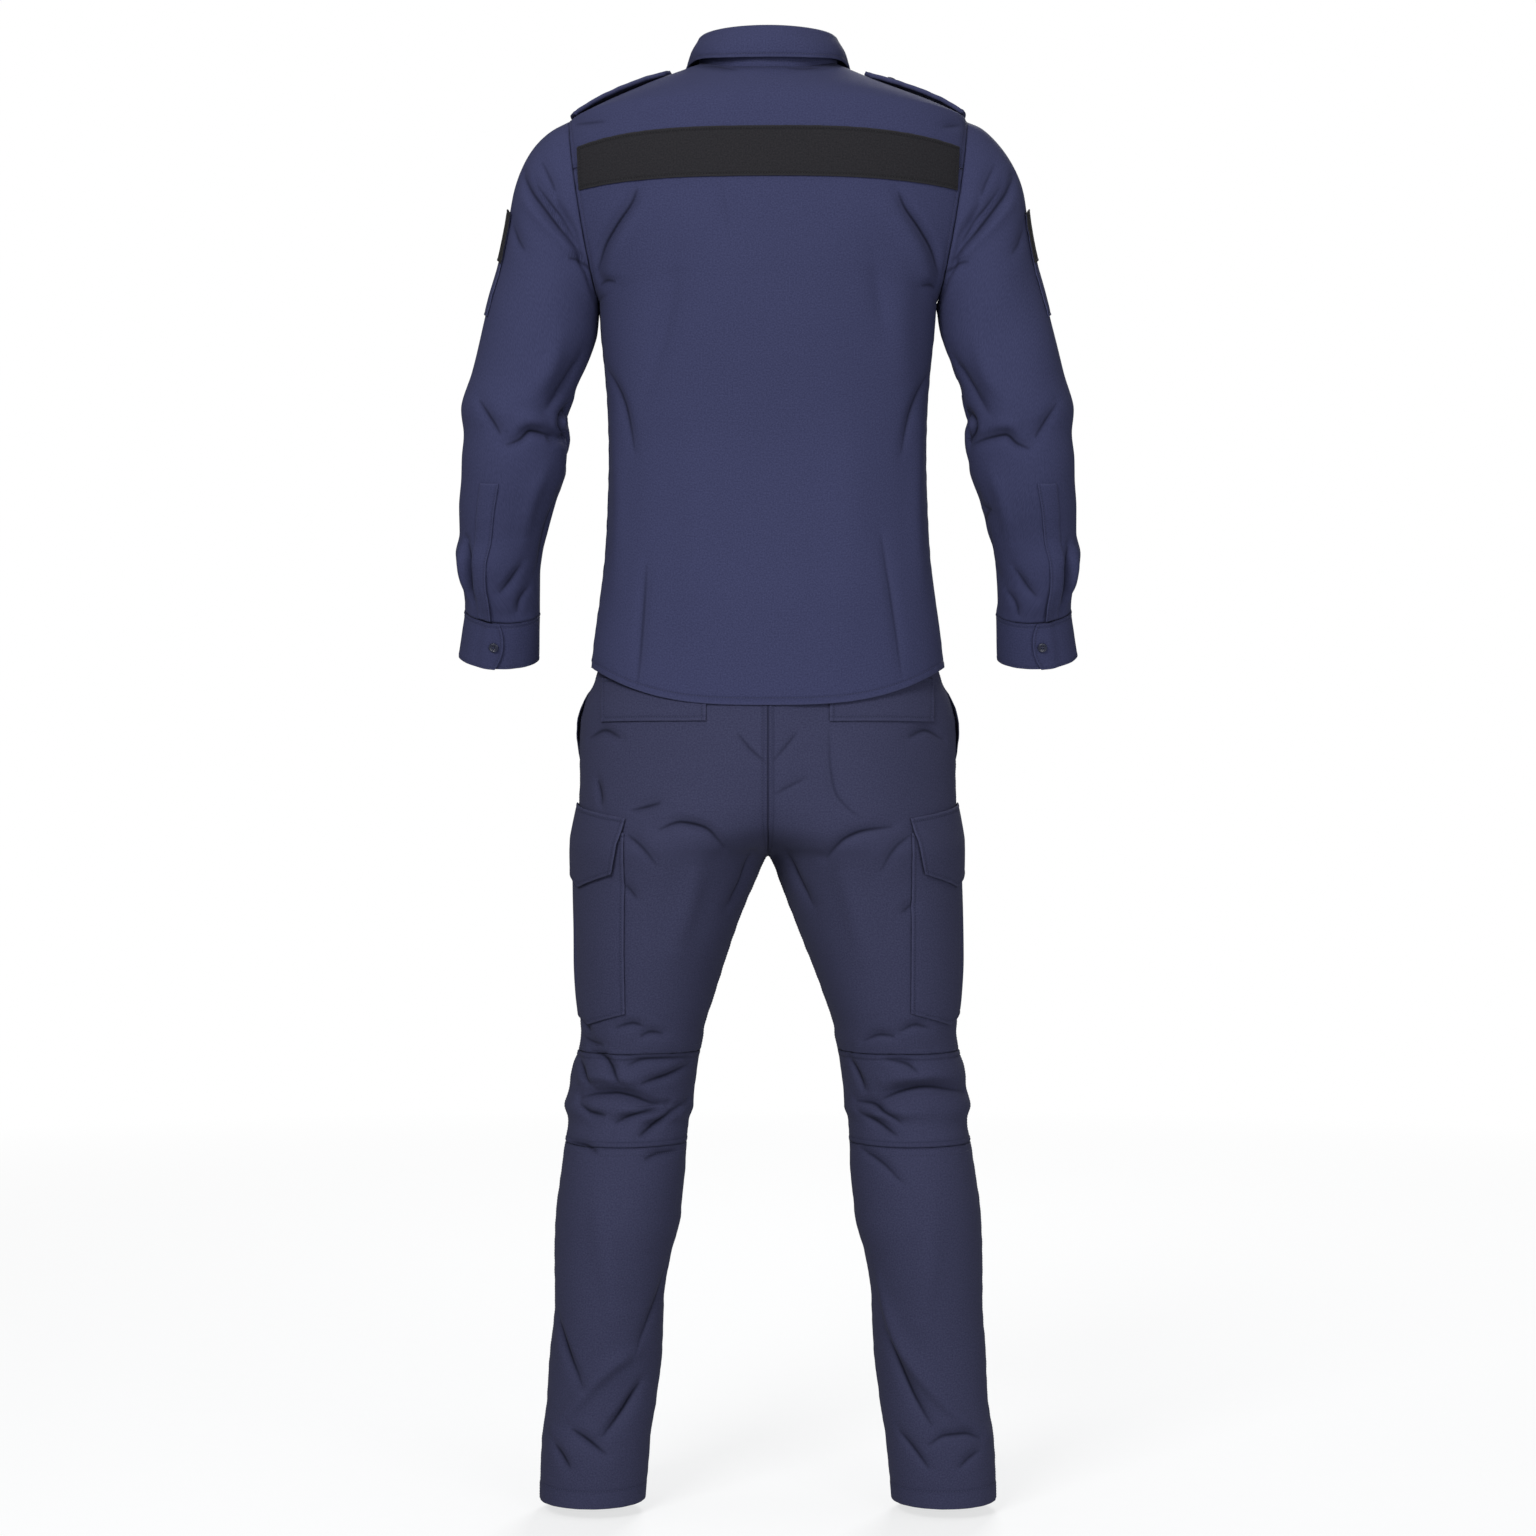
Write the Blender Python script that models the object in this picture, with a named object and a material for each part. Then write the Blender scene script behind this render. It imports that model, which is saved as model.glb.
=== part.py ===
"""A uniform of long-sleeved shirt and cargo trousers, standing hollow as it does when worn.

+X is the wearer's left, +Y the back and +Z up. Heights in the tables are measured up from the
trouser hems, and the whole is then lowered so that the origin lies in the middle of the neck.
A panel is a wall of cloth between its outer points and the same points moved in. What lies on a
panel is made from that panel's own points, moved out.
"""

import math
from collections import namedtuple

import bmesh
import bpy
import numpy as np
from mathutils import Vector

# Driving dimensions, in metres
NECK_HEIGHT = 1.590
SEAM_GAP = 0.0003
SHIRT_CLOTH = 0.0012
TROUSER_CLOTH = 0.0015
POCKET_CLOTH = 0.0012
DOUBLE_CLOTH = 0.0024
LIFT = 0.0007
WIDE_LIFT = 0.0011
BUTTON_RADIUS = 0.0055
BUTTON_THICKNESS = 0.0026
BUTTON_SIDES = 12

NAVY = (0.045, 0.052, 0.115)
TROUSER_NAVY = (0.042, 0.048, 0.105)
BLACK = (0.018, 0.018, 0.020)
BUTTON_BLUE = (0.030, 0.034, 0.060)

# The shirt's body is a stack of levels: the hem is level 0, the armpit 9, the shoulder tip 17
# and the neck seam 21. Side seam and shoulder seam, as seen from the back.
HEM_LEVEL, ARMPIT_LEVEL, SHOULDER_LEVEL, NECK_LEVEL = 0, 9, 17, 21
BAND_BOTTOM_LEVEL, YOKE_LEVEL, BAND_TOP_LEVEL = 13, 14, 15
BAND_REACH = 0.965
Edge = namedtuple("Edge", "level across height")
SIDE_SEAM = [
    Edge(0, 0.1970, 0.927),
    Edge(1, 0.1925, 0.965),
    Edge(2, 0.1860, 1.012),
    Edge(3, 0.1812, 1.055),
    Edge(4, 0.1785, 1.105),
    Edge(5, 0.1770, 1.162),
    Edge(6, 0.1782, 1.212),
    Edge(7, 0.1815, 1.258),
    Edge(8, 0.1858, 1.300),
    Edge(9, 0.1880, 1.335),
]
SHOULDER_SEAM = [
    Edge(17, 0.2206, 1.5385),
    Edge(18, 0.1900, 1.5535),
    Edge(19, 0.1550, 1.5690),
    Edge(20, 0.1180, 1.5850),
    Edge(21, 0.0780, 1.6020),
]
# The middle of the back and of the front at each level: how far out, and how high.
Centre = namedtuple("Centre", "level back_depth back_height front_depth front_height")
CENTRE_LINES = [
    Centre(0, 0.1217, 0.8830, 0.1180, 0.893),
    Centre(1, 0.1173, 0.9400, 0.1165, 0.945),
    Centre(2, 0.1120, 1.0020, 0.1140, 1.004),
    Centre(3, 0.1040, 1.0500, 0.1120, 1.052),
    Centre(4, 0.0985, 1.1050, 0.1115, 1.107),
    Centre(5, 0.0965, 1.1640, 0.1125, 1.166),
    Centre(6, 0.1010, 1.2170, 0.1165, 1.221),
    Centre(7, 0.1085, 1.2680, 0.1215, 1.272),
    Centre(8, 0.1150, 1.3140, 0.1255, 1.318),
    Centre(9, 0.1185, 1.3520, 0.1265, 1.352),
    Centre(10, 0.1200, 1.3680, 0.1262, 1.366),
    Centre(11, 0.1205, 1.3930, 0.1252, 1.388),
    Centre(12, 0.1200, 1.4240, 0.1230, 1.413),
    Centre(13, 0.1180, 1.4568, 0.1198, 1.436),
    Centre(14, 0.1155, 1.4855, 0.1165, 1.452),
    Centre(15, 0.1115, 1.5132, 0.1130, 1.466),
    Centre(16, 0.1070, 1.5380, 0.1090, 1.478),
    Centre(17, 0.1030, 1.5500, 0.1050, 1.488),
    Centre(18, 0.0980, 1.5590, 0.1005, 1.498),
    Centre(19, 0.0910, 1.5680, 0.0955, 1.508),
    Centre(20, 0.0820, 1.5770, 0.0890, 1.519),
    Centre(21, 0.0710, 1.5860, 0.0800, 1.532),
]
# Turn round the armhole at each level from armpit to shoulder tip, in degrees.
ARMHOLE_TURNS = (180, 158, 136, 110, 83, 68, 54, 27, 0)
ARMHOLE_LEVELS = range(ARMPIT_LEVEL, SHOULDER_LEVEL + 1)
LEVEL_DIP_POWER = 3
BOXY_POWER, ROUND_POWER = 0.86, 1.0

# Rings down the sleeve. Each passes through an outer and an inner point of the arm's outline as
# seen from the back, and stands out to the back and to the front. It tilts with the forearm.
Ring = namedtuple("Ring", "outer_x outer_z inner_x inner_z middle_y back front tilt bow")
SLEEVE_RINGS = [
    Ring(0.2206, 1.5385, 0.1880, 1.3350, 0.000, 0.065, 0.065, 0, 0.005),
    Ring(0.2400, 1.5290, 0.1893, 1.3262, 0.000, 0.066, 0.066, 0, 0.003),
    Ring(0.2590, 1.5130, 0.1901, 1.3175, 0.000, 0.066, 0.066, 1, 0.000),
    Ring(0.2735, 1.4910, 0.1909, 1.3085, 0.000, 0.065, 0.065, 2, 0.000),
    Ring(0.2850, 1.4600, 0.1921, 1.2990, 0.001, 0.064, 0.064, 3, 0.000),
    Ring(0.2925, 1.4190, 0.1950, 1.2885, 0.002, 0.063, 0.063, 4, 0.000),
    Ring(0.3000, 1.3780, 0.1990, 1.2765, 0.003, 0.062, 0.062, 5, 0.000),
    Ring(0.3110, 1.3370, 0.2045, 1.2625, 0.003, 0.061, 0.061, 5, 0.000),
    Ring(0.3210, 1.2980, 0.2110, 1.2475, 0.003, 0.060, 0.060, 5, 0.000),
    Ring(0.3310, 1.2580, 0.2180, 1.2310, 0.003, 0.059, 0.059, 5, 0.000),
    Ring(0.3425, 1.2170, 0.2210, 1.2120, 0.002, 0.061, 0.059, 6, 0.000),
    Ring(0.3400, 1.1900, 0.2210, 1.1930, 0.000, 0.057, 0.057, 8, 0.000),
    Ring(0.3430, 1.1640, 0.2225, 1.1720, -0.004, 0.058, 0.056, 10, 0.000),
    Ring(0.3445, 1.1400, 0.2262, 1.1470, -0.009, 0.056, 0.055, 13, 0.000),
    Ring(0.3475, 1.1100, 0.2375, 1.1150, -0.018, 0.052, 0.052, 16, 0.000),
    Ring(0.3480, 1.0820, 0.2475, 1.0830, -0.029, 0.049, 0.049, 18, 0.000),
    Ring(0.3535, 1.0580, 0.2550, 1.0580, -0.037, 0.050, 0.049, 20, 0.000),
    Ring(0.3520, 1.0360, 0.2590, 1.0340, -0.046, 0.048, 0.047, 21, 0.000),
    Ring(0.3465, 1.0160, 0.2596, 1.0120, -0.053, 0.045, 0.044, 22, 0.000),
    Ring(0.3450, 0.9960, 0.2600, 0.9910, -0.060, 0.041, 0.041, 22, 0.000),
    Ring(0.3495, 0.9700, 0.2612, 0.9650, -0.069, 0.041, 0.041, 22, 0.000),
    Ring(0.3545, 0.9450, 0.2625, 0.9400, -0.079, 0.042, 0.042, 22, 0.000),
]
CUFF_RING, LAST_RING = 19, 21
ARMPIT_ROOM = 0.04
SLEEVE_TURNS = [-t for t in ARMHOLE_TURNS[1:-1]] + list(reversed(ARMHOLE_TURNS))
CUFF_END_TURN, CUFF_OVERLAP, CUFF_TIP = 98, 26, 9
PLACKET_RINGS, PLACKET_TURNS = (13.0, 18.9), (55, 78)
SLEEVE_POCKET_RINGS, SLEEVE_POCKET_TURNS = (4.55, 7.4), (-62, 24)
SLEEVE_PATCH_RINGS, SLEEVE_PATCH_TURNS = (4.5, 5.9), (-64, 26)

# Rings down the left half of the trousers, from the waist to the hem. The half ring runs from
# the side seam through its turn to the centre seam, or below the crotch to the inside leg.
Leg = namedtuple("Leg", "height outer inner back front middle_y back_turn front_turn")
LEG_RINGS = [
    Leg(0.985, 0.1700, 0.0000, 0.0970, 0.098, 0.000, 90, 90),
    Leg(0.945, 0.1850, 0.0000, 0.1040, 0.104, 0.000, 90, 90),
    Leg(0.915, 0.1935, 0.0000, 0.1120, 0.108, 0.000, 90, 90),
    Leg(0.888, 0.2045, 0.0000, 0.1180, 0.110, 0.000, 90, 90),
    Leg(0.862, 0.2092, 0.0000, 0.1240, 0.111, 0.000, 90, 90),
    Leg(0.835, 0.2098, 0.0000, 0.1290, 0.111, 0.000, 91, 91),
    Leg(0.805, 0.2098, 0.0000, 0.1325, 0.111, 0.000, 95, 94),
    Leg(0.775, 0.2110, 0.0000, 0.1330, 0.109, 0.000, 104, 102),
    Leg(0.750, 0.2120, 0.0000, 0.1310, 0.106, 0.000, 118, 116),
    Leg(0.731, 0.2125, 0.0000, 0.1270, 0.103, 0.000, 142, 140),
    Leg(0.7176, 0.2128, 0.0004, 0.1220, 0.101, 0.000, 180, 180),
    Leg(0.690, 0.2128, 0.0140, 0.1130, 0.097, 0.000, 180, 180),
    Leg(0.650, 0.2130, 0.0305, 0.1040, 0.092, 0.001, 180, 180),
    Leg(0.605, 0.2130, 0.0470, 0.0960, 0.087, 0.002, 180, 180),
    Leg(0.560, 0.2115, 0.0620, 0.0880, 0.082, 0.002, 180, 180),
    Leg(0.522, 0.2095, 0.0728, 0.0820, 0.079, 0.000, 180, 180),
    Leg(0.500, 0.2125, 0.0765, 0.0775, 0.077, -0.002, 180, 180),
    Leg(0.478, 0.2200, 0.0805, 0.0760, 0.078, -0.004, 180, 180),
    Leg(0.456, 0.2225, 0.0840, 0.0730, 0.079, -0.006, 180, 180),
    Leg(0.437, 0.2274, 0.0852, 0.0745, 0.079, -0.006, 180, 180),
    Leg(0.420, 0.2232, 0.0905, 0.0715, 0.076, -0.004, 180, 180),
    Leg(0.398, 0.2268, 0.0922, 0.0750, 0.073, -0.001, 180, 180),
    Leg(0.360, 0.2325, 0.0935, 0.0775, 0.069, 0.003, 180, 180),
    Leg(0.318, 0.2375, 0.0976, 0.0780, 0.065, 0.006, 180, 180),
    Leg(0.270, 0.2388, 0.1090, 0.0750, 0.062, 0.008, 180, 180),
    Leg(0.219, 0.2390, 0.1154, 0.0700, 0.060, 0.009, 180, 180),
    Leg(0.165, 0.2432, 0.1180, 0.0650, 0.059, 0.010, 180, 180),
    Leg(0.112, 0.2458, 0.1245, 0.0620, 0.060, 0.010, 180, 180),
    Leg(0.064, 0.2522, 0.1315, 0.0630, 0.061, 0.010, 180, 180),
    Leg(0.000, 0.2542, 0.1378, 0.0600, 0.060, 0.010, 180, 180),
]
WAIST_TOP, WAIST_SEAM, CROTCH, KNEE_SEAM, CALF_SEAM, TROUSER_HEM = 0, 1, 10, 16, 21, 29
WAIST_OVERLAP = 12
LEG_TURNS = 10
SIDE_POCKET_RINGS, SIDE_POCKET_TURNS = (2.2, 5.6), (-40, -1.5)
SIDE_POCKET_GAPE, GAPE_HALF_RINGS, GAPE_TURNS = 0.0038, 1.6, 45

# Flaps and pockets of the trousers. Each edge lies at the front (-1) or back (1), its distance
# across given at the top and at the bottom. Midway, the upper edge rises and the lower edge
# comes down by the tip.
Flap = namedtuple(
    "Flap", "name first_side first_top first_low last_side last_top last_low top low tip rows columns"
)
SEAT_FLAP = Flap("seat_flap", 1, 0.178, 0.178, 1, 0.0675, 0.0675, 0.914, 0.868, 0.000, 4, 9)
CARGO_FLAP = Flap("cargo_flap", -1, 0.154, 0.167, 1, 0.154, 0.167, 0.760, 0.700, 0.017, 5, 11)
CARGO_POCKET = Flap("cargo_pocket", -1, 0.156, 0.156, 1, 0.156, 0.156, 0.744, 0.546, 0.015, 8, 11)
FLY = Flap("fly", -1, 0.038, 0.012, -1, 0.0012, 0.0012, 0.944, 0.776, 0.000, 7, 4)
CARGO_PUFF = 0.0030

# Large soft folds raised (+) or sunk (-) in the cloth, from one place to another on a surface.
# Places are (ring or level, turn): turn is in degrees on a sleeve or leg, and for the shirt's
# body the share of the way from centre line to edge. They lie on the left, right or both.
# Turns are weighed against rings by these sizes, and folds fade near edges over these lengths.
BODY_TURN_SIZE, LIMB_TURN_SIZE = 4.5, 1 / 40
EDGE_FADE_SHARE, MIDDLE_FADE_SHARE = 0.12, 0.10
INNER_FADE_TURN, ARMHOLE_FADE_RINGS, CUFF_FADE_RINGS = 22, 2.0, 0.8
LEG_FOLDS_START, LEG_FADE_RINGS = 6, 2.0
Fold = namedtuple("Fold", "sides from_ring from_turn to_ring to_turn width rise")
BACK_FOLDS = [
    Fold("LR", 12.2, 0.86, 9.2, 0.58, 0.13, -0.0050),
    Fold("LR", 11.0, 0.52, 5.0, 0.30, 0.16, -0.0035),
    Fold("LR", 9.0, 0.80, 3.4, 0.60, 0.13, 0.0035),
    Fold("L", 5.5, 0.72, 1.0, 0.66, 0.10, -0.0040),
    Fold("R", 5.0, 0.70, 1.4, 0.74, 0.10, -0.0040),
]
FRONT_FOLDS = [
    Fold("LR", 12.0, 0.76, 9.0, 0.50, 0.13, -0.0050),
    Fold("L", 10.0, 0.60, 5.0, 0.36, 0.16, -0.0035),
    Fold("R", 9.4, 0.56, 4.6, 0.34, 0.16, -0.0035),
    Fold("LR", 6.5, 0.74, 1.6, 0.62, 0.12, 0.0038),
]
SLEEVE_FOLDS = [
    Fold("LR", 2.6, 40, 5.6, 118, 18, -0.0050),
    Fold("LR", 4.0, 70, 6.8, 140, 14, 0.0040),
    Fold("LR", 9.0, 60, 10.4, 140, 20, -0.0055),
    Fold("LR", 11.2, 75, 12.6, 148, 18, 0.0050),
    Fold("LR", 10.4, -60, 12.0, -140, 20, -0.0055),
    Fold("LR", 15.3, 40, 18.2, 50, 14, -0.0060),
]
LEG_FOLDS = [
    Fold("L", 8.2, 70, 10.2, 135, 20, -0.0050),
    Fold("R", 8.0, 62, 10.6, 128, 20, -0.0050),
    Fold("L", 18.0, 35, 19.0, 130, 18, -0.0065),
    Fold("R", 17.6, 30, 19.4, 126, 18, -0.0065),
    Fold("LR", 19.4, 60, 20.6, 120, 16, 0.0045),
    Fold("L", 23.6, 130, 26.8, 50, 20, 0.0055),
    Fold("R", 22.8, 135, 27.0, 42, 20, 0.0055),
    Fold("LR", 25.2, 130, 28.0, 70, 16, -0.0045),
    Fold("LR", 17.6, -40, 19.4, -135, 20, -0.0055),
    Fold("LR", 10.6, -120, 12.4, -50, 20, -0.0040),
    Fold("LR", 24.6, -135, 27.4, -50, 20, 0.0045),
]

# The collar: the stand rises from the neck seam to the fold line, and the fall comes down from
# there. Half of the fall's lower edge, from the middle of the back to the collar's point.
Point = namedtuple("Point", "turn x y z")
COLLAR_EDGE = [
    Point(0, 0.0000, 0.0830, 1.5945),
    Point(35, 0.0500, 0.0730, 1.5960),
    Point(65, 0.0815, 0.0440, 1.6010),
    Point(90, 0.0960, 0.0000, 1.6030),
    Point(115, 0.1040, -0.0400, 1.5850),
    Point(140, 0.0950, -0.0780, 1.5430),
    Point(166, 0.0600, -0.1080, 1.4950),
]
FOLD_HALF_WIDTH, FOLD_BACK, FOLD_FRONT = 0.0735, 0.0640, 0.0700
FOLD_BACK_HEIGHT, FOLD_SIDE_HEIGHT, FOLD_FRONT_HEIGHT = 1.6290, 1.6290, 1.5600
FALL_TURNS = np.linspace(-166, 166, 25)
# The stand's rows, from its top down to just short of the neck seam, and where its end laps over.
STAND_SHARES, STAND_LAP_TURN, STAND_END_TURN = (0.0, 0.5, 0.985), 174, 188
# The fall goes out from the fold line, turns down past it, and bows out on its way to the edge.
FALL_OUT, FALL_TURN_OUT, FALL_TURN_DOWN, FALL_BOW = 0.0030, 0.0064, 0.0026, 0.003
FALL_SHARES = (0.4, 0.75, 1)

STRAP_LEVELS, STRAP_RISE = (17.12, 20.15), 0.0032
STRAP_OUTER_WIDTH, STRAP_INNER_WIDTH = 0.050, 0.040
STRAP_TIP_LEVELS, STRAP_TIP_NARROWING = 0.12, 0.35
SHIRT_BUTTON_HEIGHTS = (1.478, 1.386, 1.294, 1.202, 1.110, 1.018)
PLACKET_HALF_WIDTH, PLACKET_TOP_LEVEL = 0.0155, 20.75


def finish(name, colour, roughness):
    """A plain material, made once."""
    if name in bpy.data.materials:
        return bpy.data.materials[name]
    material = bpy.data.materials.new(name)
    material.use_nodes = True
    shader = material.node_tree.nodes["Principled BSDF"]
    shader.inputs["Base Color"].default_value = (*colour, 1)
    shader.inputs["Roughness"].default_value = roughness
    shader.inputs["Metallic"].default_value = 0
    material.diffuse_color = (*colour, 1)
    return material


def shirt_navy():
    return finish("shirt_navy", NAVY, 0.85)


def trouser_navy():
    return finish("trouser_navy", TROUSER_NAVY, 0.85)


def band_black():
    return finish("band_black", BLACK, 0.9)


def through(stations, values, at):
    """A smooth curve through values at the stations, read elsewhere. It never overshoots."""
    stations, values = np.asarray(stations, float), np.asarray(values, float)
    steps = np.diff(stations)
    slopes = np.diff(values) / steps
    product, total = slopes[:-1] * slopes[1:], slopes[:-1] + slopes[1:]
    inner = np.where(product > 0, 2 * product / np.where(total == 0, 1, total), 0)
    tangents = np.concatenate([slopes[:1], inner, slopes[-1:]])
    at = np.clip(np.asarray(at, float), stations[0], stations[-1])
    k = np.clip(np.searchsorted(stations, at, side="right") - 1, 0, len(steps) - 1)
    t = (at - stations[k]) / steps[k]
    ease = values[k] * (1 + 2 * t) * (1 - t) ** 2 + values[k + 1] * t * t * (3 - 2 * t)
    return ease + steps[k] * (tangents[k] * t * (1 - t) ** 2 - tangents[k + 1] * t * t * (1 - t))


def read(rows, column, at, station=None):
    """One named column of a table, between its rows."""
    stations = range(len(rows)) if station is None else [getattr(r, station) for r in rows]
    return through(stations, [getattr(r, column) for r in rows], at)


def unit(vectors):
    return vectors / np.maximum(np.linalg.norm(vectors, axis=-1, keepdims=True), 1e-12)


def level_out(vectors):
    """The same way out, laid level."""
    return unit(vectors * np.array([1.0, 1.0, 0.0]))


def mirrored(points):
    return points * np.array([-1.0, 1.0, 1.0])


# The three main surfaces


def body_edge(level):
    """Where the shirt's back and front end: side seam, armhole, then shoulder seam."""
    armhole = sleeve_point(0 * level, np.interp(level, ARMHOLE_LEVELS, ARMHOLE_TURNS))
    below, above = level <= ARMPIT_LEVEL, level >= SHOULDER_LEVEL
    x = np.where(below, read(SIDE_SEAM, "across", level, "level"), armhole[..., 0])
    x = np.where(above, read(SHOULDER_SEAM, "across", level, "level"), x)
    z = np.where(below, read(SIDE_SEAM, "height", level, "level"), armhole[..., 2])
    z = np.where(above, read(SHOULDER_SEAM, "height", level, "level"), z)
    return x, np.where(below | above, 0.0, np.abs(armhole[..., 1])), z


def body_point(level, share, facing):
    """The shirt's back (facing 1) or front (-1). Share is 0 in the middle and 1 at the edge."""
    side = "back" if facing > 0 else "front"
    level, share = np.broadcast_arrays(np.asarray(level, float), np.asarray(share, float))
    edge_x, edge_y, edge_z = body_edge(level)
    depth = read(CENTRE_LINES, side + "_depth", level, "level")
    height = read(CENTRE_LINES, side + "_height", level, "level")
    power = np.interp(level, (BAND_TOP_LEVEL, NECK_LEVEL), (BOXY_POWER, ROUND_POWER))
    turn = np.arccos(np.clip(edge_y / depth, 0, 1) ** (1 / power))
    angle = np.abs(share) * turn
    reach = (np.sin(angle) / np.sin(turn)) ** power
    x = np.sign(share) * edge_x * reach
    y = depth * np.maximum(np.cos(angle), 0) ** power * facing
    z = height + (edge_z - height) * reach**LEVEL_DIP_POWER
    return np.stack([x, y, z], axis=-1)


def sleeve_point(ring, turn):
    """The left sleeve. Turn is 0 at the outer line, 90 at the back and 180 at the inner line."""
    get = {name: read(SLEEVE_RINGS, name, ring) for name in Ring._fields}
    across, behind = np.cos(np.radians(turn)), np.sin(np.radians(turn))
    depth = np.where(behind > 0, get["back"], get["front"]) * behind
    tilt = np.radians(get["tilt"])
    half_x = (get["outer_x"] - get["inner_x"]) / 2
    half_z = (get["outer_z"] - get["inner_z"]) / 2
    x = get["inner_x"] + half_x * (1 + across) + get["bow"] * np.abs(behind)
    y = get["middle_y"] + depth * np.cos(tilt)
    z = get["inner_z"] + half_z * (1 + across) - depth * np.sin(tilt)
    return np.stack(np.broadcast_arrays(x, y, z), axis=-1)


def full_turn(ring, behind):
    """How far round the half ring goes at the back or at the front, in degrees."""
    return np.where(behind, read(LEG_RINGS, "back_turn", ring), read(LEG_RINGS, "front_turn", ring))


def leg_point(ring, turn):
    """The left half of the trousers. Turn is 0 at the side seam, and from there to the centre
    or inside seam it runs to 180 over the back and to -180 over the front."""
    get = {name: read(LEG_RINGS, name, ring) for name in Leg._fields}
    behind = np.asarray(turn) > 0
    full = np.radians(full_turn(ring, behind))
    angle = np.asarray(turn, float) / 180 * full
    radius = (get["outer"] - get["inner"]) / (1 - np.cos(full))
    x = get["outer"] - radius * (1 - np.cos(angle))
    y = get["middle_y"] + np.where(behind, get["back"], get["front"]) * np.sin(angle)
    return np.stack(np.broadcast_arrays(x, y, get["height"]), axis=-1)


def outward(surface, u, v, facing=1):
    """The way out of a surface, from steps a little way along it."""
    step = 1e-3
    along_u = surface(u + step, v) - surface(u - step, v)
    along_v = surface(u, v + step) - surface(u, v - step)
    return unit(np.cross(along_u, along_v)) * facing


def folded(surface, folds, side, turn_size, fade, facing=1):
    """The surface with its folds raised out of it: each a soft ridge that fades at both ends."""

    def lifted(u, v):
        rise = 0
        for fold in (f for f in folds if side in f.sides):
            run_u, run_v = fold.to_ring - fold.from_ring, (fold.to_turn - fold.from_turn) * turn_size
            away_u, away_v = u - fold.from_ring, (v - fold.from_turn) * turn_size
            along = np.clip((away_u * run_u + away_v * run_v) / (run_u**2 + run_v**2), 0, 1)
            apart = np.hypot(away_u - along * run_u, away_v - along * run_v)
            ridge = np.exp(-((apart / (fold.width * turn_size)) ** 2)) * np.sin(np.pi * along)
            rise = rise + fold.rise * ridge
        out = outward(surface, u, v, facing)
        return surface(u, v) + out * (rise * fade(u, v))[..., None]

    return lifted


def body_fade(level, share):
    """Folds of the shirt's body die away towards its edges, the shoulders and the hem."""
    sides = np.clip((1 - share) / EDGE_FADE_SHARE, 0, 1) * np.clip(share / MIDDLE_FADE_SHARE, 0, 1)
    return sides * np.clip(BAND_BOTTOM_LEVEL - level, 0, 1) * np.clip(level, 0, 1)


def sleeve_fade(ring, turn):
    """Folds of the sleeve die away towards the armhole, the cuff and the seam under the arm."""
    ends = np.clip(ring / ARMHOLE_FADE_RINGS, 0, 1) * np.clip((CUFF_RING - ring) / CUFF_FADE_RINGS, 0, 1)
    return ends * np.clip((180 - np.abs(turn)) / INNER_FADE_TURN, 0, 1)


def leg_fade(ring, turn):
    """Folds of the leg die away towards the hips, the hem and the inside seam."""
    ends = np.clip((ring - LEG_FOLDS_START) / LEG_FADE_RINGS, 0, 1) * np.clip(TROUSER_HEM - ring, 0, 1)
    return ends * np.clip((180 - np.abs(turn)) / INNER_FADE_TURN, 0, 1)


def body_half(side, facing):
    """Half of the shirt's back or front, with the folds of that side."""
    folds = BACK_FOLDS if facing > 0 else FRONT_FOLDS
    return folded(lambda u, v: body_point(u, v, facing), folds, side, BODY_TURN_SIZE, body_fade, facing)


def sleeve(side):
    return folded(sleeve_point, SLEEVE_FOLDS, side, LIMB_TURN_SIZE, sleeve_fade)


def leg(side):
    return folded(leg_point, LEG_FOLDS, side, LIMB_TURN_SIZE, leg_fade)


def gaping_leg(side):
    """The trouser front, which stands off at the mouth of the slanted side pocket."""
    whole = leg(side)
    middle = sum(SIDE_POCKET_RINGS) / 2

    def standing_off(u, v):
        along = np.clip(1 - ((u - middle) / GAPE_HALF_RINGS) ** 2, 0, 1)
        across = np.clip(1 + v / GAPE_TURNS, 0, 1) ** 2
        return whole(u, v) + outward(leg_point, u, v) * (SIDE_POCKET_GAPE * along * across)[..., None]

    return standing_off


# Cloth walls


Sheet = namedtuple("Sheet", "rows columns points out")


def sheet(surface, rows, columns, facing=1):
    """Points of a surface where rows and columns cross, and the way out at each."""
    rows, columns = np.asarray(rows, float), np.asarray(columns, float)
    u, v = np.meshgrid(rows, columns, indexing="ij")
    return Sheet(rows, columns, surface(u, v), outward(surface, u, v, facing))


def laid_on(under, u, v):
    """Places on the flat facets of a sheet, and the way out there."""
    i = np.clip(np.searchsorted(under.rows, u, side="right") - 1, 0, len(under.rows) - 2)
    j = np.clip(np.searchsorted(under.columns, v, side="right") - 1, 0, len(under.columns) - 2)
    a = ((u - under.rows[i]) / (under.rows[i + 1] - under.rows[i]))[..., None]
    b = ((v - under.columns[j]) / (under.columns[j + 1] - under.columns[j]))[..., None]

    def blend(grid):
        near = grid[i, j] * (1 - b) + grid[i, j + 1] * b
        far = grid[i + 1, j] * (1 - b) + grid[i + 1, j + 1] * b
        return near * (1 - a) + far * a

    return blend(under.points), unit(blend(under.out))


def cuts(span, stations):
    """The ends of a span and the stations of the sheet beneath that lie within it."""
    least = 0.12 * np.min(np.diff(stations))
    inside = [s for s in stations if span[0] + least < s < span[1] - least]
    return np.array([span[0], *inside, span[1]], float)


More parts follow.
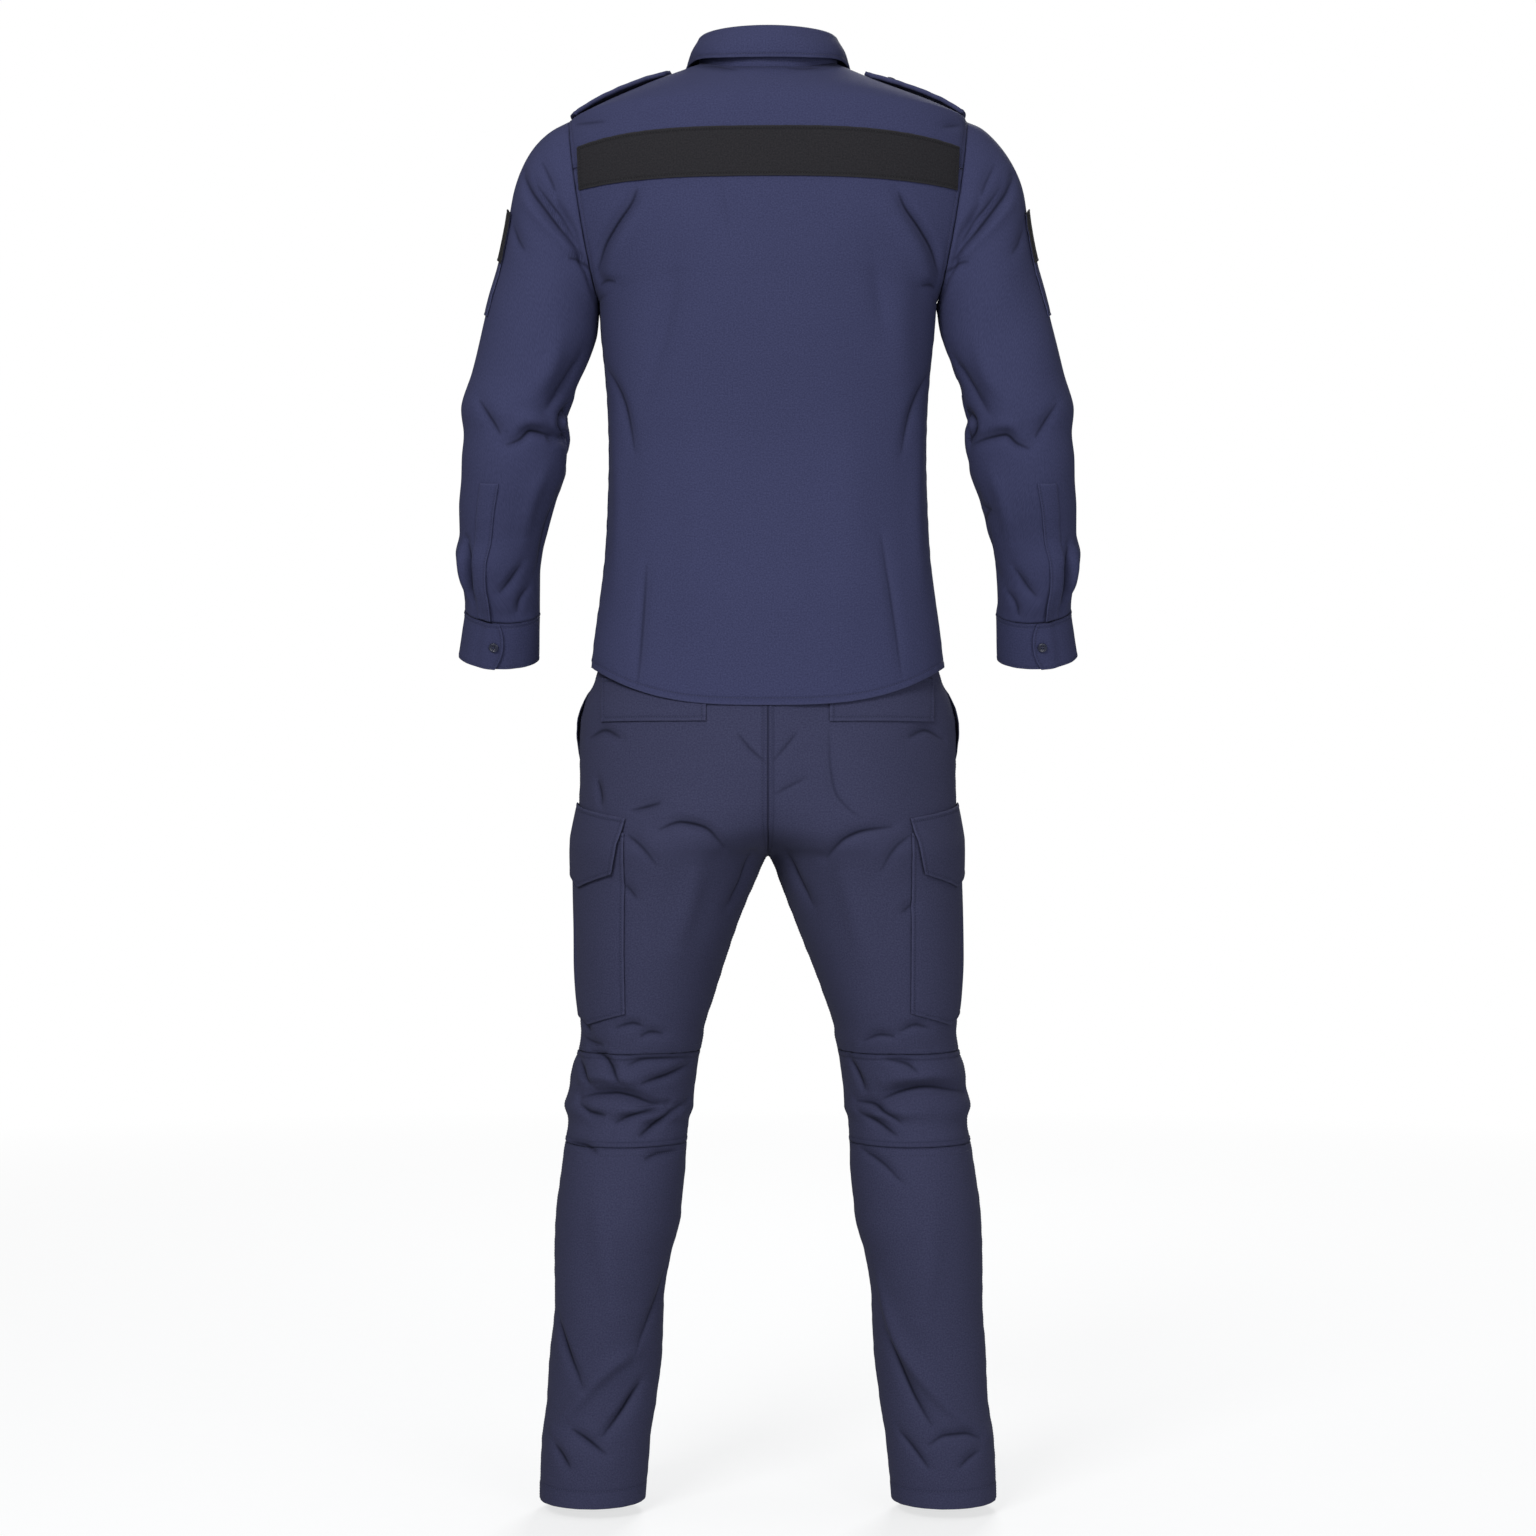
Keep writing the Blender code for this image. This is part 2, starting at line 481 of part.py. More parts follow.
def drawn_in(outer, inner, closed):
    """Both faces of a panel, taken half a seam gap in from each edge that meets another."""
    shift = np.zeros_like(outer)
    for edge, following in ((0, 1), (-1, -2)):
        shift[edge] += unit(outer[following] - outer[edge]) * SEAM_GAP / 2
        if not closed:
            shift[:, edge] += unit(outer[:, following] - outer[:, edge]) * SEAM_GAP / 2
    return outer + shift, inner + shift


def cloth(name, outer, out, thickness, material, closed=False, mirror=False):
    """A panel: one solid wall between its outer points and the same points moved in."""
    outer, inner = drawn_in(outer, outer - out * thickness, closed)
    if mirror:
        outer, inner = mirrored(outer), mirrored(inner)
    rows, columns = outer.shape[:2]
    number = np.arange(rows * columns).reshape(rows, columns)
    rims = [number[0], number[-1], number[:, 0], number[:, -1]]
    if closed:
        number = np.hstack([number, number[:, :1]])
        rims = [number[0], number[-1]]
    quads = np.stack([number[:-1, :-1], number[1:, :-1], number[1:, 1:], number[:-1, 1:]], axis=-1)
    quads = quads.reshape(-1, 4)
    depth = rows * columns
    rim_quads = [np.stack([r[:-1], r[1:], r[1:] + depth, r[:-1] + depth], axis=-1) for r in rims]
    faces = np.concatenate([quads, quads[:, ::-1] + depth, *rim_quads])
    points = np.concatenate([outer.reshape(-1, 3), inner.reshape(-1, 3)])
    mesh = bpy.data.meshes.new(name)
    mesh.from_pydata(points.tolist(), [], faces.tolist())
    shape = bmesh.new()
    shape.from_mesh(mesh)
    bmesh.ops.recalc_face_normals(shape, faces=shape.faces)
    shape.to_mesh(mesh)
    shape.free()
    return hung(name, mesh, material)


def hung(name, mesh, material):
    """A mesh as a named piece of the uniform."""
    mesh.shade_smooth()
    mesh.set_sharp_from_angle(angle=math.radians(50))
    if not mesh.materials:
        mesh.materials.append(material)
    made = bpy.data.objects.new(name, mesh)
    made.parent = UNIFORM
    WARDROBE.objects.link(made)
    return made


def overlay(name, under, rows, columns, lift, thickness, material, mirror=False):
    """A piece that lies on a panel, its rows and columns given as that panel's own."""
    points, out = laid_on(under, rows, columns)
    outer = points + out * (lift + thickness)[..., None]
    return cloth(name, outer, out, thickness, material, mirror=mirror)


def strip(name, under, row_span, column_span, lift, thickness, material, mirror=False):
    """An overlay with straight sides along the panel's own rows and columns."""
    rows, columns = cuts(row_span, under.rows), cuts(column_span, under.columns)
    u, v = np.meshgrid(rows, columns, indexing="ij")
    return overlay(name, under, u, v, np.full(u.shape, lift), thickness, material, mirror)


def button(name, place, out, mirror=False):
    """A shirt button whose underside lies at a place, turned the way out."""
    mesh = bpy.data.meshes.get("button")
    if mesh is None:
        mesh = bpy.data.meshes.new("button")
        shape = bmesh.new()
        bmesh.ops.create_cone(
            shape,
            cap_ends=True,
            segments=BUTTON_SIDES,
            radius1=BUTTON_RADIUS,
            radius2=BUTTON_RADIUS * 0.94,
            depth=BUTTON_THICKNESS,
        )
        shape.to_mesh(mesh)
        shape.free()
    if mirror:
        place, out = mirrored(place), mirrored(out)
    made = hung(name, mesh, finish("button_blue", BUTTON_BLUE, 0.35))
    made.location = Vector(place + out * (BUTTON_THICKNESS / 2))
    made.rotation_mode = "QUATERNION"
    made.rotation_quaternion = Vector((0, 0, 1)).rotation_difference(Vector(out))
    return made


# Shirt


SHARES = np.linspace(0, 1, 8)
SIDES = (("left", "L", False), ("right", "R", True))


def seam_out(levels, facing):
    """The way out along the edge of back and front, shared by the walls that meet there."""
    levels = np.asarray(levels, float)
    end = np.full_like(levels, 0.999)
    back = outward(lambda u, v: body_point(u, v, 1), levels, end, 1)
    front = outward(lambda u, v: body_point(u, v, -1), levels, end, -1)
    beside = unit(back + front)
    turns = np.interp(levels, ARMHOLE_LEVELS, ARMHOLE_TURNS)
    of_sleeve = outward(sleeve_point, np.full_like(levels, 0.01), turns * facing)
    on_body = back if facing > 0 else front
    on_body = np.where(((turns == 0) | (turns == 180))[..., None], beside, on_body)
    at_armhole = (levels >= ARMPIT_LEVEL) & (levels <= SHOULDER_LEVEL)
    return np.where(at_armhole[..., None], unit(of_sleeve + on_body), beside)


def half_body(side, facing):
    """A sheet over half of the back or front, with its seam edges squared to their neighbours."""
    made = sheet(body_half(side, facing), np.arange(HEM_LEVEL, NECK_LEVEL + 1.0), SHARES, facing)
    made.out[:, -1] = seam_out(made.rows, facing)
    made.out[:, 0] = unit(made.out[:, 0] * np.array([0.0, 1.0, 1.0]))
    return made


def both_halves(left, right):
    """One sheet across the back from its two halves."""
    return Sheet(
        left.rows,
        np.concatenate([-right.columns[:0:-1], left.columns]),
        np.concatenate([mirrored(right.points)[:, :0:-1], left.points], axis=1),
        np.concatenate([mirrored(right.out)[:, :0:-1], left.out], axis=1),
    )


def build_back():
    """The back, the yoke, and the black band that covers the seam between them."""
    half = {letter: half_body(letter, 1) for letter in "LR"}
    whole = both_halves(half["L"], half["R"])
    for name, first, last in (("shirt_back", 0, YOKE_LEVEL), ("shirt_yoke", YOKE_LEVEL, NECK_LEVEL)):
        rows = slice(first, last + 1)
        cloth(name, whole.points[rows], whole.out[rows], SHIRT_CLOTH, shirt_navy())
    levels = (BAND_BOTTOM_LEVEL, BAND_TOP_LEVEL)
    strip("back_band", whole, levels, (-BAND_REACH, BAND_REACH), LIFT, SHIRT_CLOTH, band_black())
    return half


def build_fronts():
    """The two fronts and the button placket that covers where they meet."""
    half = {letter: half_body(letter, -1) for letter in "LR"}
    for word, letter, mirror in SIDES:
        panel = half[letter]
        cloth("shirt_front_" + word, panel.points, panel.out, SHIRT_CLOTH, shirt_navy(), mirror=mirror)
    front = half["L"]
    rows = cuts((HEM_LEVEL, PLACKET_TOP_LEVEL), front.rows)
    first_width = np.interp(rows, front.rows, front.points[:, 1, 0])
    edge_share = PLACKET_HALF_WIDTH / first_width * front.columns[1]
    shares = np.stack([0 * edge_share, edge_share], axis=1)
    points, out = laid_on(front, np.broadcast_to(rows[:, None], shares.shape), shares)
    points = np.concatenate([mirrored(points)[:, :0:-1], points], axis=1)
    out = np.concatenate([mirrored(out)[:, :0:-1], out], axis=1)
    outer = points + out * (LIFT + DOUBLE_CLOTH)
    cloth("front_placket", outer, out, DOUBLE_CLOTH, shirt_navy())
    for number, height in enumerate(SHIRT_BUTTON_HEIGHTS, 1):
        level = np.interp(height, front.points[:, 0, 2], front.rows)
        place, way = laid_on(front, np.array(level), np.array(0.0))
        button(f"front_button_{number}", place + way * (2 * LIFT + DOUBLE_CLOTH), way)
    return half


def neck_ring(turn):
    """The neck seam: turn is 0 in the middle of the back, 90 at the left and 180 in front."""
    away = np.abs(turn)
    back = body_point(NECK_LEVEL, np.minimum(away, 90) / 90, 1)
    front = body_point(NECK_LEVEL, np.minimum(180 - away, 90) / 90, -1)
    points = np.where((away <= 90)[..., None], back, front)
    return np.where((turn < 0)[..., None], mirrored(points), points)


def fold_ring(turn):
    """The line where the collar folds over."""
    behind = np.cos(np.radians(turn))
    depth = np.where(behind > 0, FOLD_BACK, FOLD_FRONT)
    end_height = np.where(behind > 0, FOLD_BACK_HEIGHT, FOLD_FRONT_HEIGHT)
    height = FOLD_SIDE_HEIGHT + (end_height - FOLD_SIDE_HEIGHT) * np.abs(behind) ** 1.6
    return np.stack([FOLD_HALF_WIDTH * np.sin(np.radians(turn)), depth * behind, height], axis=-1)


def grid_out(points):
    """The way out of a grid of points, from its own rows and columns."""
    return unit(np.cross(np.gradient(points, axis=1), np.gradient(points, axis=0)))


def build_stand():
    """The collar's stand, whose left end laps over the right, with its button."""
    turns = np.concatenate([[-180], FALL_TURNS, [STAND_LAP_TURN, 182, STAND_END_TURN]])
    around = (turns + 180) % 360 - 180
    lap = np.interp(turns, (FALL_TURNS[-1], STAND_LAP_TURN), (0, DOUBLE_CLOTH + LIFT))
    bottom, top = neck_ring(around), fold_ring(around)
    points = top + (bottom - top) * np.array(STAND_SHARES)[:, None, None]
    flat = level_out(points)
    outer = points + flat * lap[:, None]
    cloth("collar_stand", outer, flat, DOUBLE_CLOTH, shirt_navy())
    way = grid_out(outer)[1, -2]
    button("collar_button", outer[1, -2] + way * LIFT, way)


def build_fall():
    """The collar's fall: over the fold, then down and out to its lower edge."""
    edge = np.stack([read(COLLAR_EDGE, axis, np.abs(FALL_TURNS), "turn") for axis in "xyz"], axis=-1)
    edge[:, 0] *= np.sign(FALL_TURNS)
    fold = fold_ring(FALL_TURNS)
    flat = level_out(fold)
    up = unit(np.cross(np.gradient(fold, axis=0), flat))
    over = [
        fold - flat * DOUBLE_CLOTH / 2 + up * (DOUBLE_CLOTH + LIFT),
        fold + flat * FALL_OUT + up * (DOUBLE_CLOTH + LIFT),
        fold + flat * FALL_TURN_OUT - up * FALL_TURN_DOWN,
    ]
    for share in FALL_SHARES:
        bow = flat * FALL_BOW * math.sin(math.pi * share)
        over.append(over[2] + (edge - over[2]) * share + bow)
    outer = np.stack(over)
    cloth("collar_fall", outer, grid_out(outer), DOUBLE_CLOTH, shirt_navy())


def build_strap(word, mirror, back, front):
    """A shoulder strap along the shoulder seam, with its button near the neck."""
    levels = np.concatenate([np.linspace(*STRAP_LEVELS, 6), [STRAP_LEVELS[1] + STRAP_TIP_LEVELS]])
    run = np.linspace(0, 1, len(levels))
    half_widths = (STRAP_OUTER_WIDTH + (STRAP_INNER_WIDTH - STRAP_OUTER_WIDTH) * run) / 2
    half_widths[-1] *= STRAP_TIP_NARROWING
    columns = []
    for across in (-1, -0.5, 0, 0.5, 1):
        under = back if across >= 0 else front
        last_facet = np.interp(levels, under.rows, np.abs(under.points[:, -2, 1]))
        share = 1 - abs(across) * half_widths / last_facet * (1 - under.columns[-2])
        columns.append(laid_on(under, levels, share))
    points, out = (np.stack([c[k] for c in columns], axis=1) for k in (0, 1))
    out = unit(out + out[:, 2:3] * 2)
    rise = LIFT + DOUBLE_CLOTH + STRAP_RISE * np.sin(np.pi * np.clip(run * 1.1, 0, 1)) ** 0.7
    outer = points + out * rise[:, None, None]
    cloth("shoulder_strap_" + word, outer, out, DOUBLE_CLOTH, shirt_navy(), mirror=mirror)
    button("strap_button_" + word, outer[4, 2] + out[4, 2] * LIFT, out[4, 2], mirror)


def build_sleeve(word, letter, mirror):
    """The sleeve, its placket, and its pocket with the black patch."""
    tube = sheet(sleeve(letter), np.arange(CUFF_RING + 1.0), SLEEVE_TURNS)
    tube.points[0] = sleeve_point(ARMPIT_ROOM * np.sin(np.radians(tube.columns / 2)) ** 2, tube.columns)
    levels = np.interp(np.abs(SLEEVE_TURNS), ARMHOLE_TURNS[::-1], ARMHOLE_LEVELS[::-1])
    behind, before = seam_out(levels, 1), seam_out(levels, -1)
    tube.out[0] = np.where((tube.columns >= 0)[:, None], behind, before)
    cloth("sleeve_" + word, tube.points, tube.out, SHIRT_CLOTH, shirt_navy(), True, mirror)
    over = LIFT * 2 + POCKET_CLOTH
    pieces = (
        ("sleeve_placket_", PLACKET_RINGS, PLACKET_TURNS, WIDE_LIFT, shirt_navy()),
        ("sleeve_pocket_", SLEEVE_POCKET_RINGS, SLEEVE_POCKET_TURNS, LIFT, shirt_navy()),
        ("sleeve_patch_", SLEEVE_PATCH_RINGS, SLEEVE_PATCH_TURNS, over, band_black()),
    )
    for name, rings, turns, lift, material in pieces:
        strip(name + word, tube, rings, turns, lift, POCKET_CLOTH, material, mirror)


def build_cuff(word, mirror):
    """A double band round the wrist. Its rounded end laps over its start, under the button."""
    start = CUFF_END_TURN - 360 - CUFF_OVERLAP
    turns = np.concatenate([np.linspace(start, 60, 16), [72, 85, CUFF_END_TURN]])
    rings = np.linspace(CUFF_RING, LAST_RING, 5)
    u, v = np.meshgrid(rings, turns, indexing="ij")
    v[:, -1] -= CUFF_TIP * ((rings - rings[2]) / (rings[-1] - rings[2])) ** 2
    around = (v + 180) % 360 - 180
    out = outward(sleeve_point, u, around)
    lap = np.interp(v, (60, 72), (0, DOUBLE_CLOTH + LIFT))[..., None]
    outer = sleeve_point(u, around) + out * lap
    cloth("cuff_" + word, outer, out, DOUBLE_CLOTH, shirt_navy(), mirror=mirror)
    button("cuff_button_" + word, outer[2, -2] + out[2, -2] * LIFT, out[2, -2], mirror)


# Trousers


def ring_at(height):
    """The trouser ring that lies at a height."""
    return np.interp(-np.asarray(height), [-r.height for r in LEG_RINGS], range(len(LEG_RINGS)))


def turn_at(ring, across, behind):
    """The turn at which the back or front of a trouser ring lies a distance from the middle."""
    outer, inner = read(LEG_RINGS, "outer", ring), read(LEG_RINGS, "inner", ring)
    full = full_turn(ring, behind)
    radius = (outer - inner) / (1 - np.cos(np.radians(full)))
    angle = np.degrees(np.arccos(np.clip(1 - (outer - across) / radius, -1, 1)))
    return angle * 180 / full * np.where(behind, 1, -1)


def build_flap(flap, word, surface, mirror, puff=0.0, over=0.0):
    """A pocket or flap. It may puff out in its middle, or climb over what it covers."""
    share, down = np.linspace(0, 1, flap.columns), np.linspace(0, 1, flap.rows)[:, None]
    tip = flap.tip * (1 - np.abs(share * 2 - 1))
    rows = ring_at(flap.top + tip + (flap.low - flap.top - 2 * tip) * down)
    first = turn_at(rows, flap.first_top + (flap.first_low - flap.first_top) * down, flap.first_side > 0)
    last = turn_at(rows, flap.last_top + (flap.last_low - flap.last_top) * down, flap.last_side > 0)
    turns = first + (last - first) * share
    swell = puff * (np.sin(np.pi * down) * np.sin(np.pi * share)) ** 0.5
    out = outward(surface, rows, turns)
    lift = WIDE_LIFT + POCKET_CLOTH + swell + over * np.clip(down * 2, 0, 1)
    outer = surface(rows, turns) + out * lift[..., None]
    cloth(flap.name + word, outer, out, POCKET_CLOTH, trouser_navy(), mirror=mirror)


def build_leg(word, letter, mirror):
    """One side of the trousers: its front, its back in three pieces, and its pockets."""
    rings = np.arange(WAIST_SEAM, TROUSER_HEM + 1.0)
    back = sheet(leg(letter), rings, np.linspace(0, 180, LEG_TURNS + 1))
    front = sheet(leg(letter), rings, np.linspace(-180, 0, LEG_TURNS + 1))
    back.out[:, 0] = front.out[:, -1] = unit(back.out[:, 0] + front.out[:, -1])
    legs = rings >= CROTCH
    back.out[legs, -1] = front.out[legs, 0] = unit(back.out[legs, -1] + front.out[legs, 0])
    gaping = sheet(gaping_leg(letter), rings, front.columns)
    cloth("trouser_front_" + word, gaping.points, front.out, TROUSER_CLOTH, trouser_navy(), mirror=mirror)
    for name, first, last in (
        ("back_thigh_", WAIST_SEAM, KNEE_SEAM),
        ("back_knee_", KNEE_SEAM, CALF_SEAM),
        ("back_calf_", CALF_SEAM, TROUSER_HEM),
    ):
        rows = slice(first - WAIST_SEAM, last - WAIST_SEAM + 1)
        cloth(name + word, back.points[rows], back.out[rows], TROUSER_CLOTH, trouser_navy(), mirror=mirror)
    behind = -TROUSER_CLOTH - LIFT - POCKET_CLOTH
    facing = (SIDE_POCKET_RINGS, SIDE_POCKET_TURNS, behind, POCKET_CLOTH)
    strip("side_pocket_facing_" + word, front, *facing, trouser_navy(), mirror)
    build_flap(SEAT_FLAP, "_" + word, leg(letter), mirror)
    build_flap(CARGO_POCKET, "_" + word, leg(letter), mirror, puff=CARGO_PUFF)
    over = WIDE_LIFT + POCKET_CLOTH + CARGO_PUFF
    build_flap(CARGO_FLAP, "_" + word, leg(letter), mirror, over=over)


def waist_point(ring, turn):
    """The waist all round: turn is 0 in the middle of the back, 90 at the left side."""
    away = np.abs(turn)
    points = leg_point(ring, 180 - away * 2)
    return np.where((turn < 0)[..., None], mirrored(points), points)


def build_waist():
    """The waistband, whose left end laps over the right, its button, and the fly below it."""
    turns = np.concatenate([np.linspace(-180, 157.5, 28), [166, 172, 184, 180 + WAIST_OVERLAP]])
    u, v = np.meshgrid(np.array([WAIST_TOP, 0.5, WAIST_SEAM]), turns, indexing="ij")
    points = waist_point(u, (v + 180) % 360 - 180)
    flat = level_out(points)
    lap = np.interp(v, (157.5, 166), (0, DOUBLE_CLOTH + LIFT))[..., None]
    outer = points + flat * lap
    cloth("waistband", outer, flat, DOUBLE_CLOTH, trouser_navy())
    button("waist_button", outer[1, -2] + flat[1, -2] * WIDE_LIFT, flat[1, -2])
    build_flap(FLY, "", leg("L"), False)


for old in list(bpy.data.objects):
    bpy.data.objects.remove(old)
WARDROBE = bpy.data.collections.new("guard_uniform")
bpy.context.scene.collection.children.link(WARDROBE)
UNIFORM = bpy.data.objects.new("uniform", None)
UNIFORM.location = (0, 0, -NECK_HEIGHT)
WARDROBE.objects.link(UNIFORM)

back_half = build_back()
front_half = build_fronts()
build_stand()
build_fall()
for word, letter, mirror in SIDES:
    build_strap(word, mirror, back_half[letter], front_half[letter])
    build_sleeve(word, letter, mirror)
    build_cuff(word, mirror)
    build_leg(word, letter, mirror)
build_waist()
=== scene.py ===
import math

import bpy
import numpy as np
from mathutils import Matrix, Vector


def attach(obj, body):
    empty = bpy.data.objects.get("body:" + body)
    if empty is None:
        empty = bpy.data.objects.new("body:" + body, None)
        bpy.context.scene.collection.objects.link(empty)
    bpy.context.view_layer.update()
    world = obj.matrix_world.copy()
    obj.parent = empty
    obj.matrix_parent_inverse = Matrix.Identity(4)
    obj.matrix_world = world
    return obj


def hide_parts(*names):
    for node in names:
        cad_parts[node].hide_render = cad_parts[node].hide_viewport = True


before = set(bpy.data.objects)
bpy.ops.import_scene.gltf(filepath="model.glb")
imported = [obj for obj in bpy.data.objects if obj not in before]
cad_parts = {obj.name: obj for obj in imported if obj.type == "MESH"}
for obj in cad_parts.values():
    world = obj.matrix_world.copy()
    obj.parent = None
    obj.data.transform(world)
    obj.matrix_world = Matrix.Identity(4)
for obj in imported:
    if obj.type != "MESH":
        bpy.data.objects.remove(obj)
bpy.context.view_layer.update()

# The wearer faces -Y and +X is the wearer's left. Heights are measured up from the trouser hems,
# and every piece is lowered by neckHeight, so that the origin lies in the middle of the neck.
neckHeight = 1.590
navy = "shirt_navy"
trouserNavy = "trouser_navy"
black = "band_black"
seamGap = 0.0003
finest = 0.0044  # spacing of the cloth's grid
grids = {"back": .80, "front": 1.25, "sleeve": .70, "thigh": .76, "knee": .56, "calf": .76}  # against finest


def column(names, rows):  # a table as one array for each named column
    return dict(zip(names.split(), np.array(rows, float).T))


# Side seam and shoulder seam of the shirt: level, across, height
sideSeam = column("level across height", [
    (0, .1970, .927), (1, .1925, .965), (2, .1860, 1.012), (3, .1812, 1.055), (4, .1785, 1.105),
    (5, .1770, 1.162), (6, .1782, 1.212), (7, .1815, 1.258), (8, .1858, 1.300), (9, .1880, 1.335),
])
shoulderSeam = column("level across height", [
    (17, .2206, 1.5385), (18, .1900, 1.5535), (19, .1550, 1.5690),
    (20, .1180, 1.5850), (21, .0780, 1.6020),
])
# Middle of the shirt's back and front: how far out and how high
centreLines = column("level backDepth backHeight frontDepth frontHeight", [
    (0, .1217, .8830, .1180, .893), (1, .1173, .9400, .1165, .945), (2, .1120, 1.0020, .1140, 1.004),
    (3, .1040, 1.0500, .1120, 1.052), (4, .0985, 1.1050, .1115, 1.107), (5, .0965, 1.1640, .1125, 1.166),
    (6, .1010, 1.2170, .1165, 1.221), (7, .1085, 1.2680, .1215, 1.272), (8, .1150, 1.3140, .1255, 1.318),
    (9, .1185, 1.3520, .1265, 1.352), (10, .1200, 1.3680, .1262, 1.366), (11, .1205, 1.3930, .1252, 1.388),
    (12, .1200, 1.4240, .1230, 1.413), (13, .1180, 1.4568, .1198, 1.436), (14, .1155, 1.4855, .1165, 1.452),
    (15, .1115, 1.5132, .1130, 1.466), (16, .1070, 1.5380, .1090, 1.478), (17, .1030, 1.5500, .1050, 1.488),
    (18, .0980, 1.5590, .1005, 1.498), (19, .0910, 1.5680, .0955, 1.508), (20, .0820, 1.5770, .0890, 1.519),
    (21, .0710, 1.5860, .0800, 1.532),
])
armholeLevels = np.arange(9, 18)
armholeTurns = np.array([180, 158, 136, 110, 83, 68, 54, 27, 0])
bandBottom, yokeLevel, bandTop, shoulderLevel, neckLevel = 13, 14, 15, 17, 21

sleeveRings = column("outerX outerZ innerX innerZ middleY back front tilt bow", [
    (.2206, 1.5385, .1880, 1.3350, .000, .065, .065, 0, .005),
    (.2400, 1.5290, .1893, 1.3262, .000, .066, .066, 0, .003),
    (.2590, 1.5130, .1901, 1.3175, .000, .066, .066, 1, 0), (.2735, 1.4910, .1909, 1.3085, .000, .065, .065, 2, 0),
    (.2850, 1.4600, .1921, 1.2990, .001, .064, .064, 3, 0), (.2925, 1.4190, .1950, 1.2885, .002, .063, .063, 4, 0),
    (.3000, 1.3780, .1990, 1.2765, .003, .062, .062, 5, 0), (.3110, 1.3370, .2045, 1.2625, .003, .061, .061, 5, 0),
    (.3210, 1.2980, .2110, 1.2475, .003, .060, .060, 5, 0), (.3310, 1.2580, .2180, 1.2310, .003, .059, .059, 5, 0),
    (.3425, 1.2170, .2210, 1.2120, .002, .061, .059, 6, 0), (.3400, 1.1900, .2210, 1.1930, .000, .057, .057, 8, 0),
    (.3430, 1.1640, .2225, 1.1720, -.004, .058, .056, 10, 0), (.3445, 1.1400, .2262, 1.1470, -.009, .056, .055, 13, 0),
    (.3475, 1.1100, .2375, 1.1150, -.018, .052, .052, 16, 0), (.3480, 1.0820, .2475, 1.0830, -.029, .049, .049, 18, 0),
    (.3535, 1.0580, .2550, 1.0580, -.037, .050, .049, 20, 0), (.3520, 1.0360, .2590, 1.0340, -.046, .048, .047, 21, 0),
    (.3465, 1.0160, .2596, 1.0120, -.053, .045, .044, 22, 0), (.3450, .9960, .2600, .9910, -.060, .041, .041, 22, 0),
    (.3495, .9700, .2612, .9650, -.069, .041, .041, 22, 0), (.3545, .9450, .2625, .9400, -.079, .042, .042, 22, 0),
])
cuffRing, lastRing = 19, 21

legRings = column("height outer inner back front middleY backTurn frontTurn", [
    (.985, .1700, 0, .0970, .098, 0, 90, 90), (.945, .1850, 0, .1040, .104, 0, 90, 90),
    (.915, .1935, 0, .1120, .108, 0, 90, 90), (.888, .2045, 0, .1180, .110, 0, 90, 90),
    (.862, .2092, 0, .1240, .111, 0, 90, 90), (.835, .2098, 0, .1290, .111, 0, 91, 91),
    (.805, .2098, 0, .1325, .111, 0, 95, 94), (.775, .2110, 0, .1330, .109, 0, 104, 102),
    (.750, .2120, 0, .1310, .106, 0, 118, 116), (.731, .2125, 0, .1270, .103, 0, 142, 140),
    (.7176, .2128, .0004, .1220, .101, 0, 180, 180), (.690, .2128, .0140, .1130, .097, 0, 180, 180),
    (.650, .2130, .0305, .1040, .092, .001, 180, 180), (.605, .2130, .0470, .0960, .087, .002, 180, 180),
    (.560, .2115, .0620, .0880, .082, .002, 180, 180), (.522, .2095, .0728, .0820, .079, 0, 180, 180),
    (.500, .2125, .0765, .0775, .077, -.002, 180, 180), (.478, .2200, .0805, .0760, .078, -.004, 180, 180),
    (.456, .2225, .0840, .0730, .079, -.006, 180, 180), (.437, .2274, .0852, .0745, .079, -.006, 180, 180),
    (.420, .2232, .0905, .0715, .076, -.004, 180, 180), (.398, .2268, .0922, .0750, .073, -.001, 180, 180),
    (.360, .2325, .0935, .0775, .069, .003, 180, 180), (.318, .2375, .0976, .0780, .065, .006, 180, 180),
    (.270, .2388, .1090, .0750, .062, .008, 180, 180), (.219, .2390, .1154, .0700, .060, .009, 180, 180),
    (.165, .2432, .1180, .0650, .059, .010, 180, 180), (.112, .2458, .1245, .0620, .060, .010, 180, 180),
    (.064, .2522, .1315, .0630, .061, .010, 180, 180), (0, .2542, .1378, .0600, .060, .010, 180, 180),
])
waistTop, waistSeam, crotchRing, kneeSeam, calfSeam, trouserHem = 0, 1, 10, 16, 21, 29


def through(stations, values, at):  # smooth curve through values at stations, without overshoot
    stations, values = np.asarray(stations, float), np.asarray(values, float)
    steps = np.diff(stations)
    slopes = np.diff(values) / steps
    product, total = slopes[:-1] * slopes[1:], slopes[:-1] + slopes[1:]
    inner = np.where(product > 0, 2 * product / np.where(total == 0, 1, total), 0)
    tangents = np.concatenate([slopes[:1], inner, slopes[-1:]])
    at = np.clip(np.asarray(at, float), stations[0], stations[-1])
    k = np.clip(np.searchsorted(stations, at, side="right") - 1, 0, len(steps) - 1)
    t = (at - stations[k]) / steps[k]
    ease = values[k] * (1 + 2 * t) * (1 - t) ** 2 + values[k + 1] * t * t * (3 - 2 * t)
    return ease + steps[k] * (tangents[k] * t * (1 - t) ** 2 - tangents[k + 1] * t * t * (1 - t))


